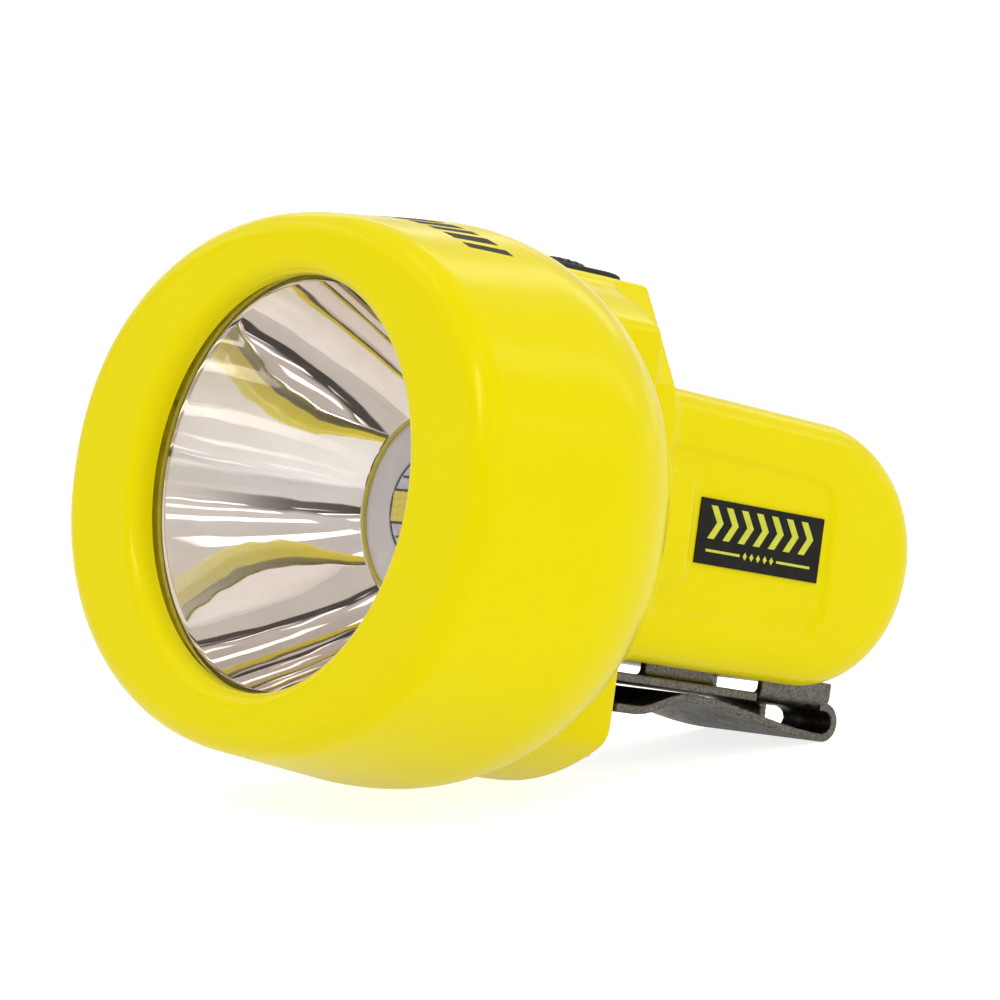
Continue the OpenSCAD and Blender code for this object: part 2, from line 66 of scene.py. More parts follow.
BORE_R = 28.0
RIM_Y = -2.3
LIP_R = 2.3
HALF_W, HALF_H = 44.5, 36.5
OVAL_POWER = 2.14
EDGE_R = 3.7
FLARE = 2.0
FLARE_END = 20.1
SHOULDER_R = 17.1
FLANGE_R = 35.2
FLANGE_FRONT = 28.2
FLANGE_BACK = 37.0
DRUM_BACK = 46.0
DRUM_FLAT = 21.5
COLLAR_BACK = 53.0
NECK_R = 31.9
NECK_FRONT = 22.0
BODY_HALF_W, BODY_HALF_H = 18.0, 18.8
BODY_Z = 2.3
BODY_EDGE_R = 5.0
TAIL_Y = 85.9
PLATFORM_Z = FLANGE_R


def spot(node, x, y, z):
    """A point in a CAD node's box, in millimetres, from shares of its sides."""
    low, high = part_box(node)
    return np.array([low[i] + (high[i] - low[i]) * s for i, s in enumerate((x, y, z))]) / MM


# ---------- meshes ----------

def piece(name, points, faces, material, body, replaces=(), crisp=60):
    """A mesh object from points in millimetres, riding on a body, crisp where edges are sharp."""
    mesh = bpy.data.meshes.new(name)
    mesh.from_pydata((np.asarray(points, float) * MM).tolist(), [], [list(f) for f in faces])
    mesh.validate()
    mesh.update()
    mesh.shade_smooth()
    obj = bpy.data.objects.new(name, mesh)
    bpy.context.scene.collection.objects.link(obj)
    mesh.materials.append(material)
    if body:
        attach(obj, body)
    if replaces:
        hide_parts(*replaces)
    tidy_normals(mesh, crisp)
    return obj


def tidy_normals(mesh, angle):
    """Faces turned outward, and edges sharper than an angle kept crisp."""
    made = bmesh.new()
    made.from_mesh(mesh)
    bmesh.ops.remove_doubles(made, verts=made.verts, dist=1e-7)
    bmesh.ops.recalc_face_normals(made, faces=made.faces)
    if made.calc_volume(signed=True) < 0:
        bmesh.ops.reverse_faces(made, faces=made.faces)
    made.to_mesh(mesh)
    made.free()
    mesh.set_sharp_from_angle(angle=math.radians(angle))


def slim(obj, share):
    """Fewer faces, with the shape kept."""
    lighter = obj.modifiers.new("slim", "DECIMATE")
    lighter.ratio = share


def rings_to_mesh(rings, closed_loop=False, caps=False):
    """Points and quads through a list of rings with equal counts."""
    rings = [np.asarray(r, float) for r in rings]
    n, m = len(rings), len(rings[0])
    points = np.concatenate(rings)
    faces = []
    for k in range(n if closed_loop else n - 1):
        a, b = k * m, ((k + 1) % n) * m
        faces += [(a + i, a + (i + 1) % m, b + (i + 1) % m, b + i) for i in range(m)]
    if caps:
        faces.append(tuple(range(m))[::-1])
        faces.append(tuple((n - 1) * m + i for i in range(m)))
    return points, faces


def lathe(profile, count=192):
    """Rings for a profile of (radius, y) turned about the beam's axis."""
    a = np.linspace(0, 2 * math.pi, count, endpoint=False)
    return [np.stack([r * np.cos(a), np.full(count, y), r * np.sin(a)], 1) for r, y in profile]


def arc(cr, cy, r, start, end, steps):
    """Points (radius, y) on an arc, with angles in degrees."""
    return [(cr + r * math.cos(a), cy + r * math.sin(a))
            for a in np.radians(np.linspace(start, end, steps + 1))]


# ---------- solids by distance fields ----------

def smooth_min(a, b, k):
    h = np.clip(0.5 + 0.5 * (b - a) / k, 0, 1)
    return b + (a - b) * h - k * h * (1 - h)


def smooth_max(a, b, k):
    return -smooth_min(-a, -b, k)


def box2(x, y, half_x, half_y, r):
    """Distance to a rectangle with round corners."""
    dx, dy = np.abs(x) - half_x + r, np.abs(y) - half_y + r
    outside = np.hypot(np.maximum(dx, 0), np.maximum(dy, 0))
    return outside + np.minimum(np.maximum(dx, dy), 0) - r


def slot2(x, y, half_w, y0, y1):
    """Distance to a slot shape that runs along y."""
    return np.hypot(x, y - np.clip(y, y0 + half_w, y1 - half_w)) - half_w


def polygon2(x, y, corners):
    """Signed distance to a polygon."""
    best, sign = None, 1.0
    for (x0, y0), (x1, y1) in zip(corners, corners[-1:] + corners[:-1]):
        ex, ey = x1 - x0, y1 - y0
        wx, wy = x - x0, y - y0
        t = np.clip((wx * ex + wy * ey) / (ex * ex + ey * ey), 0, 1)
        d = (wx - ex * t) ** 2 + (wy - ey * t) ** 2
        best = d if best is None else np.minimum(best, d)
        up, down, left = y >= y0, y < y1, ex * wy > ey * wx
        sign = sign * np.where((up & down & left) | (~up & ~down & ~left), -1.0, 1.0)
    return sign * np.sqrt(best)


def slab(d2, v, v0, v1, r=0.0):
    """A 2D distance swept between two stations, with its edges rounded by r."""
    dv = np.abs(v - (v0 + v1) / 2) - (v1 - v0) / 2 + r
    d2 = d2 + r
    outside = np.hypot(np.maximum(d2, 0), np.maximum(dv, 0))
    return outside + np.minimum(np.maximum(d2, dv), 0) - r


NEWTON_STEPS, DAMPING, LEAST_SLOPE, PROBE = 3, 0.8, 0.05, 0.05


def surface(field, low, high, step):
    """Points and quads on a field's zero level: surface nets, then Newton steps onto it."""
    axes = [np.arange(a - step, b + 2 * step, step) for a, b in zip(low, high)]
    x, y, z = np.ix_(*axes)
    v = field(x, y, z).astype(np.float32)
    inside = v < 0
    cells = np.zeros(tuple(n - 1 for n in v.shape), np.int8)
    corner = [(i, j, k) for i in (0, 1) for j in (0, 1) for k in (0, 1)]

    def part(a, c):
        return a[tuple(slice(o, a.shape[d] - 1 + o) for d, o in enumerate(c))]

    for c in corner:
        cells += part(inside, c)
    active = np.argwhere((cells > 0) & (cells < 8))
    number = np.full(cells.shape, -1, np.int64)
    number[tuple(active.T)] = np.arange(len(active))
    total, count = np.zeros((len(active), 3)), np.zeros(len(active))
    for c0 in corner:
        for d in range(3):
            if c0[d]:
                continue
            c1 = tuple(o + (i == d) for i, o in enumerate(c0))
            a = v[tuple((active + c0).T)].astype(float)
            b = v[tuple((active + c1).T)].astype(float)
            cross = (a < 0) != (b < 0)
            t = np.where(cross, a / np.where(cross, a - b, 1), 0)
            total[cross] += np.array(c0)
            total[cross, d] += t[cross]
            count[cross] += 1
    points = (active + total / count[:, None]) * step + np.array([a[0] for a in axes])
    faces = []
    for d in range(3):
        e, f = (d + 1) % 3, (d + 2) % 3
        lo = [slice(None)] * 3
        hi = [slice(None)] * 3
        lo[d], hi[d] = slice(None, -1), slice(1, None)
        flip = inside[tuple(lo)] != inside[tuple(hi)]
        edge = np.argwhere(flip)
        keep = (edge[:, e] > 0) & (edge[:, f] > 0)
        keep &= (edge[:, e] < cells.shape[e]) & (edge[:, f] < cells.shape[f])
        edge = edge[keep]
        out = inside[tuple(lo)][tuple(edge.T)]
        quad = []
        for de, df in ((-1, -1), (0, -1), (0, 0), (-1, 0)):
            at = edge.copy()
            at[:, e] += de
            at[:, f] += df
            quad.append(number[tuple(at.T)])
        quad = np.stack(quad, 1)
        quad[~out] = quad[~out][:, ::-1]
        faces.append(quad)
    h = step * PROBE
    for _ in range(NEWTON_STEPS):
        p = [points[:, i] for i in range(3)]
        here = field(*p)
        slope = np.stack([
            (field(*[q + h * (i == d) for i, q in enumerate(p)]) - here) / h for d in range(3)
        ], 1)
        size = np.maximum((slope ** 2).sum(1), LEAST_SLOPE)
        move = np.clip(here / size, -step, step)[:, None] * slope
        points = points - DAMPING * move
    return points, np.concatenate(faces)


# ---------- looks ----------

class Tree:
    """Short calls for the nodes of a material or a world, whose ramps are LINEAR or SMOOTHSTEP."""

    def __init__(self, tree, ramp="LINEAR"):
        self.nodes, self.links, self.ramp = tree.nodes, tree.links, ramp

    def node(self, kind, **settings):
        made = self.nodes.new(kind)
        for key, value in settings.items():
            setattr(made, key, value)
        return made

    def put(self, socket, value):
        if isinstance(value, bpy.types.NodeSocket):
            self.links.new(value, socket)
        else:
            socket.default_value = value

    def math(self, operation, a, b=0.0):
        made = self.node("ShaderNodeMath", operation=operation)
        self.put(made.inputs[0], a)
        self.put(made.inputs[1], b)
        return made.outputs[0]

    def fold(self, value, rate):
        """0.5 at each whole step of value times rate, and 0 midway between them."""
        share = self.math("FRACT", self.math("MULTIPLY", value, rate))
        return self.math("ABSOLUTE", self.math("SUBTRACT", share, 0.5))

    def spread(self, value, low, high, to_low=0.0, to_high=1.0):
        """value mapped from one range to another, and held at its ends."""
        made = self.node("ShaderNodeMapRange", interpolation_type=self.ramp)
        self.links.new(value, made.inputs["Value"])
        keys = ("From Min", "From Max", "To Min", "To Max")
        for key, number in zip(keys, (low, high, to_low, to_high)):
            made.inputs[key].default_value = number
        return made.outputs[0]

    def mix(self, factor, a, b):
        made = self.node("ShaderNodeMix", data_type="RGBA")
        self.put(made.inputs[0], factor)
        for socket, value in ((made.inputs[6], a), (made.inputs[7], b)):
            self.put(socket, value if isinstance(value, bpy.types.NodeSocket) else (*value, 1.0))
        return made.outputs[2]


class Look(Tree):
    """A material made of nodes. Lengths are millimetres."""

    def __init__(self, name, **values):
        self.material = bpy.data.materials.new(name)
        self.material.use_nodes = True
        super().__init__(self.material.node_tree)
        self.shader = self.nodes["Principled BSDF"]
        for key, value in values.items():
            socket = key.replace("_", " ").title().replace("Ior", "IOR")
            self.shader.inputs[socket].default_value = value
        place = self.node("ShaderNodeTexCoord")
        scale = self.node("ShaderNodeVectorMath", operation="SCALE")
        scale.inputs["Scale"].default_value = 1 / MM
        self.links.new(place.outputs["Object"], scale.inputs[0])
        self.place = scale.outputs[0]

    def noise(self, size, detail=3.0, stretch=(1, 1, 1), roughness=0.55):
        """Noise from 0 to 1 whose features are about size across."""
        scaled = self.node("ShaderNodeVectorMath", operation="MULTIPLY")
        self.links.new(self.place, scaled.inputs[0])
        scaled.inputs[1].default_value = [1 / (size * s) for s in stretch]
        made = self.node("ShaderNodeTexNoise")
        made.inputs["Scale"].default_value = 1.0
        made.inputs["Detail"].default_value = detail
        made.inputs["Roughness"].default_value = roughness
        self.links.new(scaled.outputs[0], made.inputs["Vector"])
        return made.outputs["Fac"]

    def axis(self, index):
        """One coordinate of the place, in millimetres."""
        made = self.node("ShaderNodeSeparateXYZ")
        self.links.new(self.place, made.inputs[0])
        return made.outputs[index]

    def radius(self):
        """Distance from the beam's axis."""
        squares = [self.math("MULTIPLY", v, v) for v in (self.axis(0), self.axis(2))]
        return self.math("SQRT", self.math("ADD", *squares))

    def colour(self, socket):
        self.links.new(socket, self.shader.inputs["Base Color"])

    def rough(self, socket):
        self.links.new(socket, self.shader.inputs["Roughness"])

    def bump(self, height, depth):
        """Raises the surface by depth where height is 1."""
        made = self.node("ShaderNodeBump")
        made.inputs["Distance"].default_value = depth * MM
        self.links.new(height, made.inputs["Height"])
        normal = self.shader.inputs["Normal"]
        if normal.is_linked:
            self.links.new(normal.links[0].from_socket, made.inputs["Normal"])
        self.links.new(made.outputs[0], normal)


def mottled(name, dark, light, size, rough=(0.4, 0.6), depth=0.01, fine=None, **values):
    """A material between two colours by cloudy noise, with uneven gloss and a fine grain."""
    look = Look(name, **values)
    cloud = look.noise(size, 4.0)
    look.colour(look.mix(look.spread(cloud, 0.3, 0.7), dark, light))
    look.rough(look.spread(look.noise(size * 0.4, 3.0), 0.3, 0.7, *rough))
    look.bump(look.noise(fine or size * 0.1, 2.0), depth)
    return look.material


def yellow_plastic():
    """Fluorescent yellow moulding: satin gloss, faint orange peel, flecks and a few fine scuffs."""
    look = Look(
        "yellow_shell_look", specular_ior_level=0.22, ior=1.45, specular_tint=(1, 0.92, 0.35, 1)
    )
    cloud = look.noise(22, 3.0)
    base = look.mix(look.spread(cloud, 0.3, 0.7), (0.855, 0.745, 0.0), (0.87, 0.765, 0.0))
    fleck = look.spread(look.noise(0.3, 2.0), 0.7, 0.82, 0.0, 0.05)
    base = look.mix(fleck, base, (0.72, 0.62, 0.0))
    scuff = look.noise(0.5, 4.0, (1, 9, 1))
    base = look.mix(look.spread(scuff, 0.7, 0.8, 0.0, 0.08), base, (0.93, 0.86, 0.2))
    look.colour(base)
    look.rough(look.spread(look.noise(3.0, 4.0), 0.3, 0.7, 0.17, 0.25))
    look.bump(look.noise(0.5, 2.0), 0.003)
    look.bump(look.noise(7.0, 1.0), 0.025)
    return look.material


def black_rubber():
    """Black rubber of the switch: matt, with a fine spark-eroded grain and pale dust."""
    look = Look("black_rubber_look", specular_ior_level=0.4)
    dust = look.spread(look.noise(1.5, 5.0), 0.55, 0.8, 0.0, 0.5)
    look.colour(look.mix(dust, (0.012, 0.012, 0.011), (0.05, 0.05, 0.045)))
    look.rough(look.spread(look.noise(0.8, 3.0), 0.3, 0.7, 0.34, 0.55))
    look.bump(look.noise(0.22, 2.0), 0.03)
    return look.material


def chrome_bowl():
    """Metallised bowl: a warm mirror with long soft waves down its sides and a faint haze."""
    look = Look("reflector_chrome_look", metallic=1.0)
    haze = look.spread(look.noise(7.0, 4.0), 0.35, 0.75)
    look.colour(look.mix(haze, (0.91, 0.86, 0.82), (0.85, 0.79, 0.745)))
    look.rough(look.spread(look.noise(2.0, 3.0), 0.4, 0.8, 0.015, 0.045))
    look.bump(look.noise(9.0, 2.0, (1, 2.5, 1)), 0.06)
    return look.material


def clear_lens():
    """Clear polycarbonate: see-through, and more of a mirror towards a glancing view."""
    look = Look("clear_lens_look", metallic=1.0)
    wipe = look.noise(3.0, 4.0, (3, 1, 1))
    look.colour(look.mix(look.spread(wipe, 0.4, 0.8), (0.97, 0.98, 0.98), (0.92, 0.94, 0.94)))
    look.rough(look.spread(wipe, 0.5, 0.85, 0.01, 0.06))
    slant = look.node("ShaderNodeLayerWeight")
    slant.inputs["Blend"].default_value = 0.5
    share = look.math("POWER", slant.outputs["Facing"], 4.0)
    share = look.math("ADD", look.math("MULTIPLY", share, 0.5), 0.02)
    clear = look.node("ShaderNodeBsdfTransparent")
    both = look.node("ShaderNodeMixShader")
    look.links.new(share, both.inputs[0])
    look.links.new(clear.outputs[0], both.inputs[1])
    look.links.new(look.shader.outputs[0], both.inputs[2])
    look.links.new(both.outputs[0], look.nodes["Material Output"].inputs["Surface"])
    return look.material


def clip_steel():
    """Tempered spring steel: dark mottled faces with worn streaks, and paler speckled cut edges."""
    look = Look("clip_steel_look", metallic=1.0)
    facing = look.node("ShaderNodeNewGeometry")
    parts = look.node("ShaderNodeSeparateXYZ")
    look.links.new(facing.outputs["Normal"], parts.inputs[0])
    cut = look.spread(look.math("ABSOLUTE", parts.outputs[0]), 0.7, 0.9)
    stain = look.noise(2.6, 6.0, (1, 1.6, 1), 0.65)
    face = look.mix(look.spread(stain, 0.36, 0.68), (0.04, 0.034, 0.027), (0.21, 0.20, 0.18))
    worn = look.spread(look.noise(0.9, 6.0, (1, 3, 1), 0.7), 0.56, 0.72, 0.0, 0.8)
    face = look.mix(worn, face, (0.30, 0.285, 0.265))
    grain = look.noise(0.32, 5.0, (1, 1, 1), 0.75)
    edge = look.mix(look.spread(grain, 0.35, 0.65), (0.075, 0.07, 0.062), (0.27, 0.26, 0.245))
    look.colour(look.mix(cut, face, edge))
    look.rough(look.spread(look.noise(0.7, 4.0), 0.3, 0.7, 0.3, 0.52))
    look.bump(grain, 0.03)
    look.bump(stain, 0.06)
    return look.material


TRACK_R = 8.3


def board_white():
    """White solder mask of the lamp board, with a soft lilac cast and a darker round track."""
    look = Look("white_board_look", specular_ior_level=0.5)
    cloud = look.noise(2.5, 4.0)
    base = look.mix(look.spread(cloud, 0.3, 0.7), (0.66, 0.62, 0.66), (0.72, 0.68, 0.71))
    off_track = look.math("ABSOLUTE", look.math("SUBTRACT", look.radius(), TRACK_R))
    track = look.spread(off_track, 0.1, 0.2, 0.35, 0.0)
    look.colour(look.mix(track, base, (0.50, 0.47, 0.49)))
    look.rough(look.spread(cloud, 0.3, 0.7, 0.3, 0.45))
    look.bump(look.noise(0.3, 2.0), 0.01)
    return look.material


def brushed(name, dark, light, stretch, rough=(0.22, 0.4)):
    """Metal with fine lines along one direction."""
    look = Look(name, metallic=1.0)
    lines = look.noise(0.25, 4.0, stretch, 0.7)
    look.colour(look.mix(look.spread(lines, 0.3, 0.7), dark, light))
    look.rough(look.spread(look.noise(1.5, 3.0), 0.3, 0.7, *rough))
    look.bump(lines, 0.012)
    return look.material


EMITTERS_PER_MM = 0.9


def phosphor():
    """Yellow phosphor strip with a fine grid of emitter cells."""
    look = Look("led_phosphor_look", specular_ior_level=0.5)
    grain = look.noise(0.35, 4.0)
    base = look.mix(look.spread(grain, 0.3, 0.7), (0.80, 0.62, 0.06), (0.92, 0.78, 0.14))
    lines = [look.spread(look.fold(look.axis(i), EMITTERS_PER_MM), 0.44, 0.49) for i in (0, 2)]
    line = look.math("MULTIPLY", look.math("MAXIMUM", *lines), 0.45)
    look.colour(look.mix(line, base, (0.40, 0.29, 0.03)))
    look.rough(look.spread(grain, 0.3, 0.7, 0.25, 0.4))
    look.bump(grain, 0.02)
    return look.material


BAND_Y = 80.0


def cell_jacket():
    """Shrink-wrapped jacket: dark blue-grey, with a copper band round the rear end."""
    look = Look("cell_jacket_look", specular_ior_level=0.5)
    cloud = look.noise(3.0, 3.0)
    jacket = look.mix(look.spread(cloud, 0.3, 0.7), (0.02, 0.028, 0.045), (0.035, 0.045, 0.065))
    band = look.spread(look.axis(1), BAND_Y, BAND_Y + 0.3)
    copper = look.mix(look.spread(cloud, 0.3, 0.7), (0.48, 0.22, 0.08), (0.60, 0.30, 0.12))
    look.colour(look.mix(band, jacket, copper))
    look.rough(look.spread(cloud, 0.3, 0.7, 0.18, 0.32))
    look.bump(look.noise(1.4, 2.0), 0.02)
    return look.material


YELLOW = yellow_plastic()
RUBBER = black_rubber()
CHROME = chrome_bowl()
STEEL = clip_steel()
LIME = mottled("print_lime_look", (0.58, 0.62, 0.03), (0.70, 0.72, 0.05), 1.4, (0.35, 0.5), 0.008)
INK = mottled(
    "print_black_look", (0.008, 0.008, 0.007), (0.016, 0.016, 0.014), 1.0, (0.4, 0.6), 0.008,
    specular_ior_level=0.2,
)
LABEL = mottled(
    "label_look", (0.008, 0.008, 0.007), (0.015, 0.015, 0.013), 2.5, (0.45, 0.6), 0.01, 0.4,
    specular_ior_level=0.15,
)
RESIN = mottled("led_body_look", (0.60, 0.58, 0.65), (0.72, 0.70, 0.78), 1.2, (0.2, 0.35), 0.01)
DARK_LINE = mottled(
    "led_outline_look", (0.02, 0.022, 0.04), (0.05, 0.055, 0.09), 0.8, (0.2, 0.4), 0.01
)
LOOKS = {
    "yellow_shell": YELLOW,
    "clear_lens": clear_lens(),
    "black_rubber": RUBBER,
    # The seal's olive is painted shade: the yellow bore wall's shadowed tone put into the seal's
    # colour
    "seal_silicone": mottled(
        "seal_painted_shade_look", (0.50, 0.42, 0.012), (0.60, 0.51, 0.02), 2.0, (0.3, 0.5), 0.02
    ),
    "black_plastic": mottled(
        "black_plastic_look", (0.018, 0.018, 0.02), (0.032, 0.032, 0.034), 2.0, (0.4, 0.6), 0.03,
        0.3,
    ),
    "reflector_chrome": CHROME,
    "white_board": board_white(),
    "led_body": RESIN,
    "led_phosphor": phosphor(),
    "bare_aluminium": brushed(
        "bare_aluminium_look", (0.60, 0.61, 0.63), (0.78, 0.79, 0.81), (1, 8, 1)
    ),
    "plated_steel": brushed(
        "plated_steel_look", (0.48, 0.48, 0.47), (0.68, 0.68, 0.67), (1, 5, 1)
    ),
    "green_board": mottled(
        "green_board_look", (0.012, 0.10, 0.04), (0.02, 0.15, 0.06), 1.2, (0.3, 0.5), 0.02
    ),
    "brass_contact": brushed(
        "brass_contact_look", (0.62, 0.45, 0.18), (0.78, 0.60, 0.28), (5, 1, 1)
    ),
    "label": LABEL,
    "cell_jacket": cell_jacket(),
    "clip_steel": STEEL,
}
for part in frame["record"]["subparts"]:
    node = frame["nodes"][part["node"]]
    for holder in node.material_slots:
        holder.material = LOOKS[part["material_slot"]]


# ---------- head ----------

RING_COUNT = 256
ring_a = np.linspace(0, 2 * math.pi, RING_COUNT, endpoint=False)
LEAN = math.radians(-6.3)
REAR_LIP = 0.5
FIT = 0.1
CUP_OUT, CUP_IN, CUP_BACK = 33.0, 30.6, 12.0
SEAT_Y = 1.0
WALL = 2.5
CAVITY_BACK = 23.0
HEAD_BACK = FLANGE_FRONT - 0.2
CUP_GAP = 0.2
HOLLOW_FRONT = 1.6
# Angles on the shoulder, in radians, between which it meets the flange's bore
NEAR_BORE, PAST_BORE = 0.3, 1.45


def oval_r(delta, a=ring_a):
    """Radius of the oval towards each angle, with its half sizes grown by delta."""
    across = (np.abs(np.cos(a)) / (HALF_W + delta)) ** OVAL_POWER
    up = (np.abs(np.sin(a)) / (HALF_H + delta)) ** OVAL_POWER
    return (across + up) ** (-1 / OVAL_POWER)


def ring(r, y):
    """A ring of points, where r and y are one number or one for each angle."""
    r, y = np.broadcast_to(r, ring_a.shape), np.broadcast_to(y, ring_a.shape)
    return np.stack([r * np.cos(ring_a), y, r * np.sin(ring_a)], 1)


def side_at(angle, wall=0.0):
    """(growth, y) on the head's rounded shoulder, set in by a wall."""
    r = SHOULDER_R - wall
    return FLARE - SHOULDER_R + r * np.cos(angle), FLARE_END + r * np.sin(angle)


# Ends of the head's flaring side, as (growth, y)
SIDE_FRONT = (EDGE_R * (math.cos(LEAN) - 1), RIM_Y + EDGE_R + EDGE_R * math.sin(LEAN))
SIDE_BACK = side_at(LEAN)


def head_rings():
    """The head's closed section: bore, rim, side, shoulder, rear and the hollow inside."""
    rings = [ring(BORE_R, y) for y in (SEAT_Y, SEAT_Y * 0.5, 0.25)]
    rings += [ring(r, y) for r, y in arc(BORE_R + LIP_R, 0, LIP_R, 180, 270, 10)]
    # Broad front face, from the round lip to the oval edge
    for t in np.linspace(0.08, 0.96, 9):
        rings.append(ring((1 - t) * (BORE_R + LIP_R) + t * oval_r(-EDGE_R), RIM_Y))
    edge_y = RIM_Y + EDGE_R
    for a in np.linspace(-math.pi / 2, LEAN, 14):
        rings.append(ring(oval_r(-EDGE_R + EDGE_R * math.cos(a)), edge_y + EDGE_R * math.sin(a)))
    for t in np.linspace(0, 1, 12)[1:]:
        grow, y = (a + (b - a) * t for a, b in zip(SIDE_FRONT, SIDE_BACK))
        rings.append(ring(oval_r(grow), y))
    # Shoulder, ended where it meets the flange's bore, found by halving
    low, high = np.full(RING_COUNT, NEAR_BORE), np.full(RING_COUNT, PAST_BORE)
    for _ in range(30):
        mid = (low + high) / 2
        outside = oval_r(side_at(mid)[0]) > FLANGE_R + FIT + REAR_LIP
        low, high = np.where(outside, mid, low), np.where(outside, high, mid)
    for t in np.linspace(0, 1, 22)[1:]:
        grow, y = side_at(LEAN + (low - LEAN) * t)
        rings.append(ring(oval_r(grow), y))
    end_y = side_at(low)[1]
    for a in np.linspace(0.3, math.pi / 2, 5):
        lip = REAR_LIP * (1 - math.sin(a))
        rings.append(ring(FLANGE_R + FIT + lip, end_y + 0.35 * math.sin(a)))
    for t in (0.5, 1):
        rings.append(ring(FLANGE_R + FIT, (1 - t) * end_y + t * HEAD_BACK))
    rings += [ring(NECK_R + FIT, HEAD_BACK), ring(NECK_R + FIT, CAVITY_BACK)]
    # Hollow between the shell and the cup that holds the lens
    for a in np.linspace(0.2, LEAN, 5):
        grow, y = side_at(a, WALL)
        rings.append(ring(np.maximum(oval_r(grow), CUP_OUT + CUP_GAP), min(y, CAVITY_BACK)))
    for t in (0.5, 1):
        grow, y = side_at(LEAN, WALL)
        r = oval_r(grow + (-WALL - grow) * t)
        rings.append(ring(np.maximum(r, CUP_OUT + CUP_GAP), y + (HOLLOW_FRONT - y) * t))
    rings.append(ring(np.maximum(oval_r(-EDGE_R), CUP_OUT + CUP_GAP), WALL + RIM_Y))
    rings += [ring(CUP_OUT, WALL + RIM_Y), ring(CUP_OUT, CUP_BACK)]
    rings += [ring(CUP_IN, CUP_BACK), ring(CUP_IN, SEAT_Y)]
    return rings


points, faces = rings_to_mesh(head_rings(), closed_loop=True)
piece("head_shell", points, faces, YELLOW, "head", ("bezel", "lens_ring"), 32)

# ---------- neck, collar and battery housing ----------

FINS = [
    (-9, 35.2), (9, 35.2), (11, 32.1), (17.7, 21.2), (18.5, 14), (18.5, -9),
    (13.6, -17.2), (10.5, -30.5), (-10.5, -30.5),
]
PANEL = [
    (50, 13.7), (79.5, 12.7), (84.4, 11.6), (85.9, 9.6), (86.3, -6.2), (83.7, -8.9), (50, -9.5),
]
TONGUE = [(50, 11.9), (57.6, 9.6), (58.8, 8.3), (59.1, -3.7), (57.8, -5.2), (50, -6.6)]
PANEL_DEPTH, PANEL_SLOPE = 0.5, 1.1
BAY_HALF_W, BAY_HALF_H, BAY_EDGE_R = 15.8, 16.9, 4.0
BAY_FRONT = 35.9
HOLLOW_R = 29.0
DRAFT, DRAFT_Y, DRAFT_LENGTH = 0.6, 57, 33
BLEND_R = 1.6
GROOVE_Y, GROOVE_DEPTH, GROOVE_HALF_W = 24.3, 1.7, 1
SWITCH_ROOM = (-7.5, 38, 17), (7.5, 50.5, 31)
CORE_ROOM = (-8.5, BAY_FRONT - 1, -28.3), (8.5, 50.6, -14)
BUTTON_HALF_W, BUTTON_FRONT, BUTTON_BACK, BUTTON_TOP = 3.6, 36.6, 47.8, 37.3
BUTTON_Y = (BUTTON_FRONT + BUTTON_BACK) / 2
WELL_GAP, WELL_Z = 0.5, 33
PLUNGER_R, PLUNGER_Z = 2.05, 30
HOUSING_FACES = 95000


def inset(corners, d):
    """A clockwise polygon's corners, moved inward by d from both of their edges."""
    made = []
    for i in range(len(corners)):
        a, b, c = (np.array(corners[(i + k) % len(corners)], float) for k in (-1, 0, 1))
        u, v = (b - a) / np.linalg.norm(b - a), (c - b) / np.linalg.norm(c - b)
        m = np.array([-u[1] - v[1], u[0] + v[0]])
        made.append(tuple(b - m * 2 * d / (m @ m)))
    return made


def box3(x, y, z, low, high):
    """Rough distance to a box with sharp edges."""
    gaps = [np.abs(p - (a + b) / 2) - (b - a) / 2 for p, a, b in zip((x, y, z), low, high)]
    return np.maximum(np.maximum(gaps[0], gaps[1]), gaps[2])


def tailed(x, y, z, half_w, half_h, edge):
    """Rounded bar along the axis whose tail is a half disc."""
    return box2(x, np.hypot(np.maximum(y - TAIL_Y, 0), z - BODY_Z), half_w, half_h, edge)


fins_inner = inset(FINS, 1.0)


